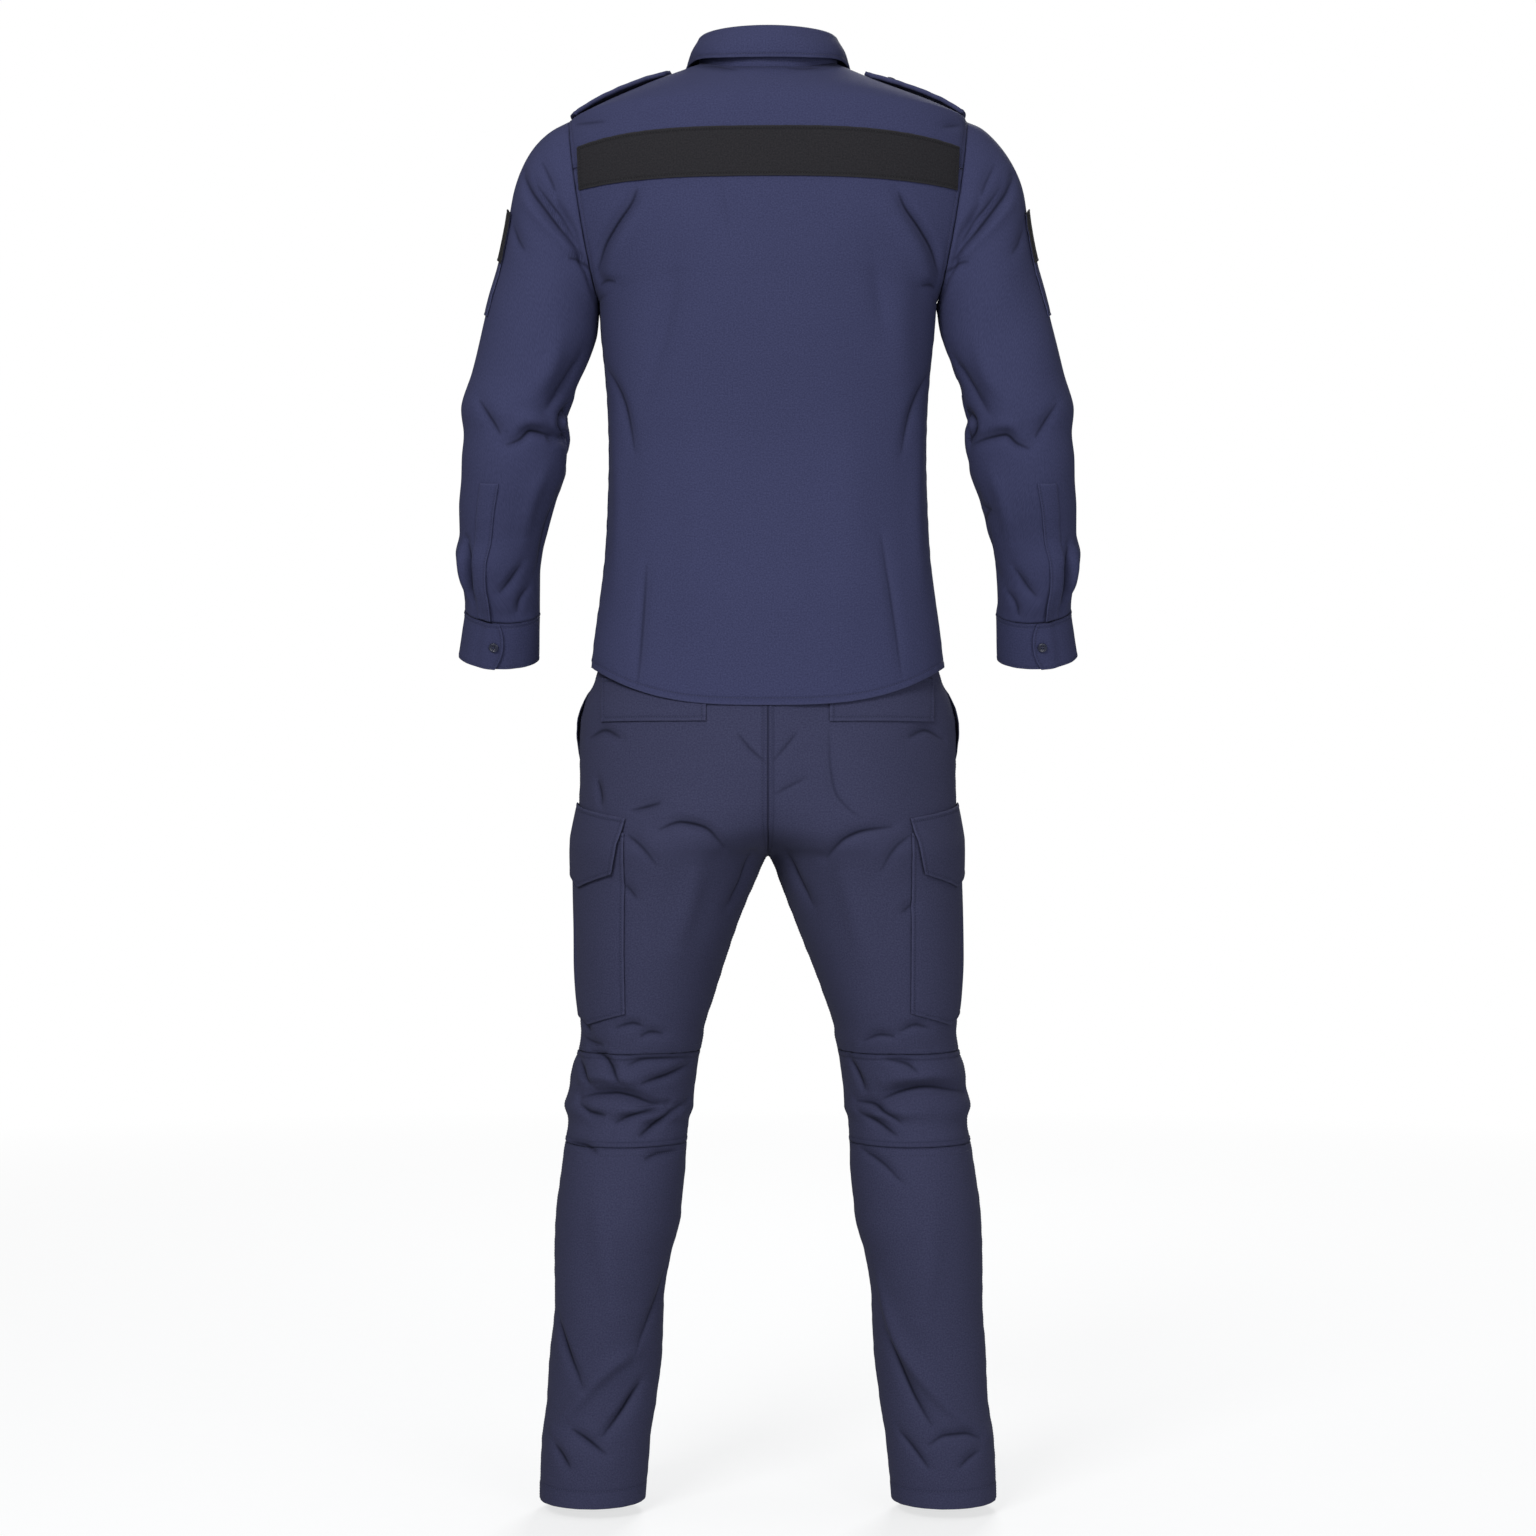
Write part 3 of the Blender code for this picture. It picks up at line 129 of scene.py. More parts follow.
def read(table, name, at):
    return through(table.get("level", np.arange(len(table[name]))), table[name], at)


def unit(vectors):
    return vectors / np.maximum(np.linalg.norm(vectors, axis=-1, keepdims=True), 1e-12)


def mirrored(points):
    return points * np.array([-1.0, 1.0, 1.0])


def bell(x):
    return np.exp(-(x**2))


def easedStep(x, start, end):  # 0 before start, 1 after end, and smooth between them
    t = np.clip((x - start) / (end - start), 0, 1)
    return t * t * (3 - 2 * t)


# The left half ends at the side seam, the armhole and then the shoulder seam
def shirtEdge(level):
    armhole = sleevePlace(0 * level, np.interp(level, armholeLevels, armholeTurns))
    below, above = level <= armholeLevels[0], level >= shoulderLevel
    x = np.where(below, read(sideSeam, "across", level), armhole[..., 0])
    z = np.where(below, read(sideSeam, "height", level), armhole[..., 2])
    x = np.where(above, read(shoulderSeam, "across", level), x)
    z = np.where(above, read(shoulderSeam, "height", level), z)
    return x, np.where(below | above, 0.0, np.abs(armhole[..., 1])), z


# Shirt at a level and a share of the way from its middle (0) to its edge (1): across is the edge's
# distance times (sine of the angle over its full sine) to a power, depth is the middle's times
# the cosine to that power, and the height moves from the middle's to the edge's with its cube.
def shirtPlace(level, share, facing):
    level, share = np.broadcast_arrays(np.asarray(level, float), np.asarray(share, float))
    word = "back" if facing > 0 else "front"
    edgeX, edgeY, edgeZ = shirtEdge(level)
    depth = read(centreLines, word + "Depth", level)
    height = read(centreLines, word + "Height", level)
    power = np.interp(level, (bandTop, neckLevel), (0.86, 1.0))
    turn = np.arccos(np.clip(edgeY / depth, 0, 1) ** (1 / power))
    angle = np.abs(share) * turn
    reach = (np.sin(angle) / np.sin(turn)) ** power
    y = depth * np.maximum(np.cos(angle), 0) ** power * facing
    return np.stack([np.sign(share) * edgeX * reach, y, height + (edgeZ - height) * reach**3], axis=-1)


# Left sleeve: ellipses between an outer and an inner point of the arm's outline, tilted with the
# forearm. Turn is 0 at the outer line, 90 at the back, 180 at the inner line.
def sleevePlace(ring, turn):
    get = {name: read(sleeveRings, name, ring) for name in sleeveRings}
    across, behind = np.cos(np.radians(turn)), np.sin(np.radians(turn))
    depth = np.where(behind > 0, get["back"], get["front"]) * behind
    tilt = np.radians(get["tilt"])
    x = get["innerX"] + (get["outerX"] - get["innerX"]) / 2 * (1 + across) + get["bow"] * np.abs(behind)
    z = get["innerZ"] + (get["outerZ"] - get["innerZ"]) / 2 * (1 + across) - depth * np.sin(tilt)
    return np.stack(np.broadcast_arrays(x, get["middleY"] + depth * np.cos(tilt), z), axis=-1)


for word in ("back", "front"):
    reach = 1 - np.cos(np.radians(legRings[word + "Turn"]))
    legRings[word + "Radius"] = (legRings["outer"] - legRings["inner"]) / reach


def legRadius(ring, behind):
    return np.where(behind, read(legRings, "backRadius", ring), read(legRings, "frontRadius", ring))


def fullTurn(ring, behind):  # 180 for a whole leg, and less above, where the centre seam ends it
    return np.degrees(np.arccos(np.clip(1 - read(legRings, "outer", ring) / legRadius(ring, behind), -1, 1)))


# Left trouser leg: half rings from the side seam (0) over the back to 180, or over the front to
# -180. Across runs along a circle as wide as the leg, and depth along its own half width.
def legPlace(ring, turn):
    get = {name: read(legRings, name, ring) for name in legRings}
    behind = np.asarray(turn) > 0
    angle = np.radians(np.asarray(turn, float) / 180 * fullTurn(ring, behind))
    x = get["outer"] - legRadius(ring, behind) * (1 - np.cos(angle))
    y = get["middleY"] + np.where(behind, get["back"], get["front"]) * np.sin(angle)
    return np.stack(np.broadcast_arrays(x, y, get["height"]), axis=-1)


def wayOut(surface, u, v, facing=1):  # cross product of short steps along the surface
    step = 1e-3
    alongU = surface(u + step, v) - surface(u - step, v)
    alongV = surface(u, v + step) - surface(u, v - step)
    return unit(np.cross(alongU, alongV)) * facing


# Creases as seen from behind: side (B is both), height and half width in mm, lean towards one
# side, and where each runs, in mm across from the middle and up from the trouser hems. Depth
# multiplies all heights, pinch is the share of a trough that is narrow, and wide and narrow are the
# least half widths. A dark line of painted shade is drawn in full at the height drawn, not at all
# from the width soft on, and dies away within reach of its middle.
creaseValues = {"depth": 2.3, "pinch": .45, "wide": .0054, "narrow": .0050, "drawn": .0056, "soft": .017,
                "softer": .007, "reach": .0065, "slack": .010, "rightShare": .88, "rightDrop": .004}
shirtBackCreases = [
    ("B", -3.6, 9, 0.5, [(189, 1361), (183, 1385), (169, 1408), (151, 1431), (142, 1448)]),
    ("B", 2.2, 12, 0, [(180, 1342), (170, 1372), (153, 1400), (134, 1427)]),
    ("L", -2.6, 22, 0, [(102, 1373), (109, 1326), (120, 1277), (134, 1228)]),
    ("L", -1.2, 16, 0, [(51, 1457), (46, 1419), (41, 1381)]),
    ("R", -1.8, 18, 0, [(115, 1373), (122, 1332), (128, 1293)]),
    ("R", 1.6, 20, 0, [(150, 1368), (144, 1293), (150, 1228)]),
    ("L", -1.2, 8, 0, [(133, 1042), (138, 977), (143, 900)]),
    ("R", -1.2, 8, 0, [(122, 1075), (135, 995), (146, 911)]),
    ("L", 1.8, 24, 0, [(85, 1195), (74, 1086), (85, 977)]),
    ("R", 1.6, 26, 0, [(79, 1217), (90, 1108), (85, 955)]),
    ("B", 1.5, 14, 0, [(170, 1195), (164, 1108), (168, 1020)]),
    ("B", -1.8, 10, 0.3, [(179, 1261), (159, 1217), (146, 1162)]),
    ("L", -1.0, 7, 0.3, [(74, 1592), (62, 1590), (48, 1586), (33, 1581)]),
    ("R", -1.0, 7, 0.3, [(60, 1588), (40, 1584), (20, 1583)]),
    ("L", -1.0, 6, 0.3, [(216, 1528), (196, 1526), (177, 1524)]),
    ("R", -1.0, 6, 0.3, [(214, 1526), (190, 1519)]),
    ("B", -1.6, 7, 0.3, [(186, 1349), (178, 1352), (166, 1349)]),
]
sleeveBackCreases = [
    ("B", -3.0, 7, 0.5, [(273, 1477), (265, 1456), (249, 1433), (229, 1408), (208, 1386), (195, 1366)]),
    ("B", -2.6, 6, -0.5, [(259, 1463), (241, 1437), (226, 1420), (215, 1401), (201, 1382)]),
    ("B", 1.8, 6, 0, [(268, 1440), (247, 1416), (226, 1395), (210, 1378)]),
    ("B", -1.8, 5, 0.3, [(234, 1446), (226, 1425), (216, 1412), (205, 1396)]),
    ("B", -1.2, 7, 0, [(252, 1489), (240, 1463), (234, 1448)]),
    ("B", -2.2, 6, 0.4, [(222, 1377), (209, 1375), (196, 1367), (190, 1357)]),
    ("B", -1.2, 9, 0, [(284, 1420), (278, 1400), (268, 1385)]),
    ("B", -4.0, 6, 0, [(338, 1070), (337, 1045), (337, 1022), (333, 1002)]),
    ("B", 2.6, 7, 0, [(347, 1060), (341, 1012)]),
    ("B", -3.6, 14, 0, [(207, 1273), (223, 1242), (246, 1209)]),
    ("B", 2.4, 12, 0, [(230, 1288), (243, 1253), (263, 1224)]),
    ("B", -4, 8, 0.4, [(216, 1226), (228, 1200), (218, 1177)]),
    ("B", -3, 6, 0.5, [(291, 1171), (275, 1177), (261, 1187), (241, 1184), (225, 1179)]),
    ("B", 2.2, 8, 0, [(283, 1189), (263, 1199), (239, 1197)]),
    ("B", -1.8, 9, 0, [(321, 1224), (307, 1200), (294, 1182)]),
    ("B", 1.8, 10, 0, [(247, 1145), (263, 1111), (273, 1067)]),
    ("B", -1.6, 9, 0, [(230, 1134), (247, 1089), (261, 1038)]),
    ("B", -1.8, 6, 0.3, [(303, 1010), (290, 1023), (274, 1045)]),
    ("B", -1.6, 5, 0.3, [(283, 988), (279, 1003), (268, 1021)]),
]
legBackCreases = [
    ("L", -1.5, 8, 0, [(155, 744), (140, 732), (119, 708)]),
    ("L", -1.3, 7, 0.2, [(158, 690), (150, 681), (142, 672)]),
    ("R", -1.4, 8, 0, [(157, 744), (139, 729), (121, 702)]),
    ("R", -1.3, 7, 0.2, [(160, 669), (153, 662), (145, 657)]),
    ("L", -1.1, 7, 0.3, [(35, 855), (17, 834), (3, 822)]),
    ("R", -1.1, 7, 0.3, [(5, 822), (20, 840), (32, 855)]),
    ("R", -1.0, 7, 0.3, [(6, 786), (22, 795), (44, 806)]),
    ("L", -2.6, 9, 0.4, [(120, 748), (96, 757), (69, 751), (46, 727)]),
    ("R", -2.6, 9, 0.4, [(61, 716), (84, 739), (105, 748), (137, 752)]),
    ("L", -1.8, 7, 0.4, [(199, 848), (182, 857), (161, 848)]),
    ("R", -1.8, 7, 0.4, [(152, 848), (175, 857), (196, 846)]),
    ("L", -1.6, 6, 0, [(188, 804), (185, 789), (182, 774)]),
    ("L", -1.8, 8, 0, [(150, 769), (132, 774), (115, 778)]),
    ("R", -0.9, 4, 0, [(66, 860), (67, 826), (72, 792), (85, 773), (101, 760)]),
    ("L", -3, 12, 0, [(18, 722), (26, 692), (44, 664)]),
    ("R", -3, 12, 0, [(20, 722), (31, 692), (48, 664)]),
    ("L", 2.2, 14, 0, [(75, 714), (86, 670), (101, 615)]),
    ("R", 2.2, 14, 0, [(81, 711), (93, 664), (104, 609)]),
    ("L", -3.4, 7, 0.5, [(211, 450), (191, 456), (169, 457), (149, 454), (123, 445), (109, 443)]),
    ("L", 2.6, 8, 0, [(207, 471), (185, 476), (161, 474), (130, 464)]),
    ("L", -3, 7, 0.4, [(171, 424), (145, 434), (109, 443)]),
    ("L", -2.6, 6, 0.4, [(143, 410), (123, 424), (90, 446)]),
    ("L", 2, 7, 0, [(163, 441), (130, 432), (97, 430)]),
    ("L", -2.4, 6, 0.4, [(198, 504), (182, 498), (169, 481), (162, 468)]),
    ("L", -2.2, 6, 0.4, [(211, 492), (205, 478), (195, 465)]),
    ("L", -2.2, 6, 0.4, [(211, 445), (196, 434), (178, 432)]),
    ("L", -1.8, 6, 0.3, [(156, 488), (134, 495), (87, 496)]),
    ("L", -2.2, 7, 0.3, [(142, 468), (115, 474), (87, 487)]),
    ("L", -1.8, 6, 0.3, [(169, 530), (149, 535), (134, 531)]),
    ("L", -1.8, 6, 0.3, [(142, 520), (127, 525), (112, 523)]),
    ("L", -1.4, 5, 0.3, [(206, 535), (202, 529), (195, 523)]),
    ("L", -1.6, 5, 0.3, [(206, 517), (193, 512), (180, 510)]),
    ("L", -1.8, 5, 0.3, [(220, 401), (204, 400), (187, 392)]),
    ("L", -1.8, 6, 0.3, [(138, 384), (120, 391), (101, 392)]),
    ("R", -3.4, 7, 0.5, [(121, 449), (144, 458), (177, 463), (218, 456)]),
    ("R", 2.6, 8, 0, [(128, 469), (151, 476), (181, 478), (211, 471)]),
    ("R", -2.6, 6, 0.4, [(96, 446), (112, 445), (130, 435), (149, 423)]),
    ("R", -2.4, 6, 0.4, [(99, 434), (121, 423), (143, 411)]),
    ("R", 2, 7, 0, [(108, 430), (134, 436), (173, 436)]),
    ("R", -2.4, 6, 0.4, [(90, 493), (98, 476), (107, 458)]),
    ("R", -1.8, 6, 0.3, [(127, 495), (152, 490), (165, 481)]),
    ("R", -1.8, 6, 0.3, [(101, 395), (113, 388), (127, 379), (149, 359)]),
    ("R", -1.8, 6, 0.3, [(143, 526), (163, 533), (178, 529)]),
    ("R", -1.8, 6, 0.3, [(104, 515), (123, 522), (141, 520)]),
    ("L", 3, 9, 0.4, [(144, 171), (165, 162), (191, 139), (210, 115), (236, 85)]),
    ("L", -3, 8, -0.4, [(140, 138), (156, 112), (184, 79)]),
    ("L", -2.6, 8, 0.3, [(233, 206), (227, 185), (219, 166), (202, 134)]),
    ("L", -2.2, 7, 0.3, [(217, 89), (198, 77), (177, 61)]),
    ("L", -2, 7, 0.3, [(236, 70), (227, 57), (217, 44)]),
    ("L", -2, 12, 0, [(113, 262), (119, 235), (130, 208), (149, 166)]),
    ("L", 1.8, 14, 0, [(185, 350), (178, 284), (165, 218)]),
    ("R", 3, 9, 0.4, [(122, 248), (131, 216), (143, 183), (170, 143), (205, 106), (244, 75)]),
    ("R", -2.8, 8, -0.4, [(132, 187), (143, 159), (157, 129), (181, 91)]),
    ("R", -2.2, 7, 0.3, [(174, 70), (195, 82), (218, 83), (235, 75)]),
    ("R", -2, 7, 0.3, [(143, 85), (161, 64), (178, 44)]),
    ("R", -1.6, 6, 0.3, [(209, 45), (222, 55), (235, 63)]),
    ("R", 1.8, 14, 0, [(178, 339), (176, 273), (165, 207)]),
]
shirtFrontCreases = [
    ("B", -3.4, 9, .5, [(189, 1356), (181, 1384), (166, 1408), (148, 1430)]),
    ("B", 2.0, 12, 0, [(178, 1340), (168, 1370), (150, 1398), (132, 1420)]),
    ("L", -2.2, 20, 0, [(104, 1366), (110, 1316), (121, 1262), (132, 1208)]),
    ("R", -2.4, 20, 0, [(98, 1372), (106, 1330), (118, 1280), (136, 1222)]),
    ("L", 1.6, 22, 0, [(82, 1200), (72, 1100), (84, 985)]),
    ("R", 1.8, 24, 0, [(88, 1230), (76, 1120), (80, 990)]),
    ("B", -1.6, 10, .3, [(176, 1256), (158, 1214), (146, 1160)]),
    ("L", -1.4, 14, 0, [(22, 1400), (30, 1330), (26, 1260)]),
    ("R", -1.4, 12, 0, [(24, 1180), (34, 1110), (30, 1030)]),
]
sleeveFrontCreases = [
    ("B", -2.4, 9, .5, [(262, 1456), (238, 1424), (212, 1396), (197, 1370)]),
    ("B", 2.0, 10, 0, [(277, 1470), (256, 1430), (232, 1400), (206, 1376)]),
    ("B", -1.8, 6, .4, [(208, 1372), (200, 1362), (195, 1352)]),
    ("B", -3.4, 10, .3, [(214, 1250), (238, 1232), (266, 1226), (296, 1234)]),
    ("B", 2.6, 10, 0, [(218, 1228), (246, 1212), (278, 1210), (306, 1216)]),
    ("B", -3.6, 8, .4, [(220, 1206), (246, 1192), (276, 1190), (304, 1196)]),
    ("B", 2.2, 9, 0, [(224, 1184), (250, 1172), (280, 1170)]),
    ("B", -2.8, 8, .4, [(224, 1164), (250, 1150), (282, 1152)]),
    ("B", -1.8, 9, 0, [(262, 1120), (282, 1080), (290, 1040)]),
    ("B", -1.6, 6, .3, [(272, 1012), (290, 1030), (304, 1052)]),
]
legFrontCreases = [
    ("L", -2.8, 9, .4, [(12, 742), (44, 762), (80, 772), (116, 770)]),
    ("R", -2.8, 9, .4, [(12, 748), (42, 770), (76, 778), (110, 782)]),
    ("L", -2.0, 8, .3, [(26, 720), (58, 736), (92, 738)]),
    ("R", -2.0, 8, .3, [(24, 716), (54, 728), (86, 732)]),
    ("B", 2.0, 16, 0, [(140, 660), (136, 600), (138, 530)]),
    ("L", -3.0, 8, .4, [(96, 478), (124, 464), (158, 462), (196, 474)]),
    ("R", -3.0, 8, .4, [(98, 466), (128, 456), (160, 458), (198, 470)]),
    ("L", -2.4, 7, .4, [(94, 448), (120, 438), (150, 434)]),
    ("R", -2.4, 7, .4, [(96, 440), (124, 430), (156, 430)]),
    ("B", 2.2, 9, 0, [(104, 460), (134, 448), (166, 446)]),
    ("B", -2.0, 7, .3, [(206, 452), (188, 436), (166, 424)]),
    ("L", 2.8, 10, .4, [(140, 180), (166, 146), (196, 118), (228, 96)]),
    ("R", 2.8, 10, .4, [(146, 210), (168, 160), (200, 122), (236, 90)]),
    ("L", -2.8, 9, -.4, [(148, 140), (170, 112), (196, 86)]),
    ("R", -2.8, 9, -.4, [(150, 150), (172, 116), (200, 88)]),
    ("B", -2.2, 8, .3, [(230, 190), (218, 160), (204, 134)]),
    ("B", -2.0, 8, .3, [(164, 66), (192, 50), (222, 44)]),
    ("B", 1.6, 14, 0, [(170, 360), (176, 300), (172, 230)]),
]


# Nearest place on a surface to a place seen from behind: a coarse search, then three short steps
def placeOn(surface, uSpan, vSpan, x, z):
    u, v = np.meshgrid(np.linspace(*uSpan, 160), np.linspace(*vSpan, 120), indexing="ij")
    found = surface(u, v)
    away = np.hypot(found[..., 0, None] - x, found[..., 2, None] - z).reshape(-1, len(x))
    u, v = u.ravel()[away.argmin(axis=0)], v.ravel()[away.argmin(axis=0)]
    for _ in range(3):
        step = 1e-3
        here = surface(u, v)
        du, dv = (surface(u + step, v) - here) / step, (surface(u, v + step) - here) / step
        gapX, gapZ = x - here[..., 0], z - here[..., 2]
        size = du[..., 0] * dv[..., 2] - du[..., 2] * dv[..., 0]
        size = np.where(np.abs(size) < 1e-9, 1e9, size)
        u = np.clip(u + (gapX * dv[..., 2] - gapZ * dv[..., 0]) / size, *uSpan)
        v = np.clip(v + (gapZ * du[..., 0] - gapX * du[..., 2]) / size, *vSpan)
    return surface(u, v), wayOut(surface, u, v)


def laidCreases(rows, side, surface, uSpan, vSpan):  # each crease as a smooth line on its surface
    laid = []
    for sides, rise, width, lean, places in rows:
        if side not in sides and sides != "B":
            continue
        x, z = np.array(places, float).T / 1000
        share = 1.0 if side == "L" else creaseValues["rightShare"]
        if sides == "B" and side == "R":
            z = z - creaseValues["rightDrop"]
        marks = np.arange(len(x))
        fine = np.linspace(0, len(x) - 1, 5 * len(x) - 4)
        line, out = placeOn(surface, uSpan, vSpan, through(marks, x, fine), through(marks, z, fine))
        laid.append((line, out, rise / 1000 * share * creaseValues["depth"], width / 1000, lean))
    return laid


# Nearest point of a line to each place: how far off, on which side, and how far along from 0 to 1.
# Within slack above or below the line, height doesn't count.
def nearLine(here, line, out, slack=0.0):
    best = np.full(len(here), 1e9)
    sign, along = np.ones(len(here)), np.zeros(len(here))
    for k in range(len(line) - 1):
        run = line[k + 1] - line[k]
        t = np.clip((here - line[k]) @ run / max(run @ run, 1e-12), 0, 1)
        gap = here - line[k] - t[:, None] * run
        high = gap @ out[k]
        level = np.linalg.norm(gap - high[:, None] * out[k], axis=1)
        apart = np.hypot(level, np.maximum(np.abs(high) - slack, 0))
        nearer = apart < best
        best = np.where(nearer, apart, best)
        sign = np.where(nearer, np.where(gap @ np.cross(out[k], run) < 0, -1.0, 1.0), sign)
        along = np.where(nearer, (k + t) / (len(line) - 1), along)
    return best, sign, along


# The sharpest trough by each place: how far off its line is, signed by its side, and how deep it
# is from 0 to 1, less where a second one is as near. The cloth's material paints the fold's fine
# dark line of painted shade, with a paler lip of painted highlight beside it, from these two.
def creaseMarks(points, laid):
    away, deep = np.full(points.shape[:-1], 0.05), np.zeros(points.shape[:-1])
    second = np.zeros(points.shape[:-1])
    for line, out, rise, width, lean in laid:
        firm = np.clip((creaseValues["soft"] - width) / creaseValues["softer"], 0, 1)
        strength = np.clip(-rise / creaseValues["drawn"], 0, 1) * firm
        near = np.all((points > line.min(axis=0) - 0.03) & (points < line.max(axis=0) + 0.03), axis=-1)
        if strength == 0 or not near.any():
            continue
        best, sign, along = nearLine(points[near], line, out, creaseValues["slack"])
        here = strength * np.sin(np.pi * along) ** 0.65 * bell(best / creaseValues["reach"])
        stronger = here > deep[near]
        away[near] = np.where(stronger, best * sign, away[near])
        second[near] = np.where(stronger, deep[near], np.maximum(second[near], here))
        deep[near] = np.where(stronger, here, deep[near])
    return away, deep - 0.95 * second


# Height of all creases: each is its rise times a broad and a narrow bell of the distance from its
# line, steeper on the side that it leans to, fading to nothing at both ends of the line. Ridges
# have the broad bell alone.
def creaseRise(points, laid):
    total = np.zeros(points.shape[:-1])
    for line, out, rise, width, lean in laid:
        lo, hi = line.min(axis=0) - 2.6 * width, line.max(axis=0) + 2.6 * width
        near = np.all((points > lo) & (points < hi), axis=-1)
        if not near.any():
            continue
        best, sign, along = nearLine(points[near], line, out)
        wide = width * np.where(sign * lean > 0, 1 - 0.6 * abs(lean), 1 + 0.3 * abs(lean))
        wide = np.maximum(wide, creaseValues["wide"])
        narrow = np.maximum(wide * 0.4, creaseValues["narrow"])
        pinch = creaseValues["pinch"] if rise < 0 else 0
        height = (1 - pinch) * bell(best / wide) + pinch * bell(best / narrow)
        total[near] += rise * height * np.sin(np.pi * np.clip(along, 0.06, 0.94)) ** 0.6
    return total


# Low uneven waves of loose cloth: a sum of four sines of the place, each with its own direction
def looseness(points, size, length, seed):
    draw = np.random.default_rng(seed)
    total = 0
    for _ in range(4):
        way = unit(draw.normal(size=3))
        wave = points @ way * 2 * np.pi / (length * draw.uniform(0.7, 1.5))
        total = total + np.sin(wave + draw.uniform(0, 6))
    return size * total / 2


# A surface with its creases and loose waves raised out of it, dying away where fade is 0
def clothOver(surface, laid, size, length, seed, fade, facing=1):
    def place(u, v):
        points = surface(u, v)
        rise = creaseRise(points, laid) + looseness(points, size, length, seed)
        return points + wayOut(surface, u, v, facing) * (rise * fade(u, v))[..., None]

    place.laid = laid
    return place


# Stations along a line of the surface: about a cloth grid apart, and closer by each sewn edge
# and by the rows of stitches beside it
def stations(line, start, end, startRows=(), endRows=(), spacing=None):
    t = np.linspace(start, end, 600)
    length = np.concatenate([[0], np.cumsum(np.linalg.norm(np.diff(line(t), axis=0), axis=1))])
    count = max(2, int(round(length[-1] / (spacing or finest))))
    marks = list(np.linspace(0, length[-1], count + 1))
    for rows, base, way in ((startRows, 0.0, 1), (endRows, length[-1], -1)):
        if len(rows) == 0:
            continue
        besideRows = [row + step for row in rows for step in (-0.0012, 0, 0.0012)]
        near = sorted({0.0, 0.0009, 0.002, *besideRows, max(rows) + 0.003})
        near = [d for d in near if 0 <= d < length[-1] / 2]
        marks = [mark for mark in marks if abs(mark - base) > near[-1] + 0.0015]
        marks += [base + way * d for d in near]
    marks = np.array(sorted(marks))
    marks = marks[np.concatenate([[True], np.diff(marks) > 0.0004])]
    marks[-1] = length[-1]
    return np.interp(marks, length, t)


def cumulative(points, axis):  # distance run along one way of a grid
    steps = np.linalg.norm(np.diff(points, axis=axis), axis=-1)
    start = np.zeros_like(np.take(steps, [0], axis=axis))
    return np.concatenate([start, np.cumsum(steps, axis=axis)], axis=axis)


def gridOut(points):
    return unit(np.cross(np.gradient(points, axis=0), np.gradient(points, axis=1)))


# Edge of sewn cloth, by distance from it: rolled down at the very edge, thick up to the row of
# stitches at width, and drawn in along that row. Width 0 is a plain seam, turned in.
def edgeRise(distance, width):
    rolled = -0.0005 * bell(distance / 0.0013)
    if width == 0:
        return rolled
    thick = 0.00045 * (1 - easedStep(distance, width - 0.001, width + 0.001))
    return rolled + thick - 0.00035 * bell((distance - width) / 0.0012)


# Small pulls beside a stitched seam: short waves along it that die away within a centimetre
def pucker(run, distance, seed):
    wave = np.sin(run * 2 * np.pi / 0.017 + seed) + np.sin(run * 2 * np.pi / 0.0263 + 2.2 * seed)
    return 0.00016 * wave * np.exp(-distance / 0.010)


class Cloth:  # a grid of final points, with its way out, cut size and places by station
    def __init__(self, us, vs, points, out, cut, area):
        self.us, self.vs, self.points, self.out, self.cut, self.area = us, vs, points, out, cut, area

    def at(self, u, v, lift=0.0):
        i = np.clip(np.searchsorted(self.us, u, side="right") - 1, 0, len(self.us) - 2)
        j = np.clip(np.searchsorted(self.vs, v, side="right") - 1, 0, len(self.vs) - 2)
        a = np.clip((u - self.us[i]) / (self.us[i + 1] - self.us[i]), 0, 1)[..., None]
        b = np.clip((v - self.vs[j]) / (self.vs[j + 1] - self.vs[j]), 0, 1)[..., None]

        def blend(grid):
            first = grid[i, j] * (1 - b) + grid[i, j + 1] * b
            return first * (1 - a) + (grid[i + 1, j] * (1 - b) + grid[i + 1, j + 1] * b) * a

        out = unit(blend(self.out))
        return blend(self.points) + out * lift, out

    def inset(self, edge, distance, count):  # a line along an edge, that distance inside it
        axis = 0 if edge in ("start", "end") else 1
        rows, across = (self.us, self.vs) if axis == 0 else (self.vs, self.us)
        run = cumulative(self.points, axis)
        run = run if axis == 0 else run.T
        if edge in ("end", "right"):
            run, rows = (run[-1] - run)[::-1], rows[::-1]
        k = np.clip((run < distance).sum(axis=0) - 1, 0, len(rows) - 2)
        columns = np.arange(len(across))
        share = (distance - run[k, columns]) / (run[k + 1, columns] - run[k, columns])
        along = across[0] + (across[-1] - across[0]) * np.linspace(0.002, 0.998, count)
        place = np.interp(along, across, rows[k] + share * (rows[k + 1] - rows[k]))
        return (place, along) if axis == 0 else (along, place)


def quadsOf(number):  # the four corners of each cell in a grid of numbers
    around = [number[:-1, :-1], number[1:, :-1], number[1:, 1:], number[:-1, 1:]]
    return np.stack(around, axis=-1).reshape(-1, 4)


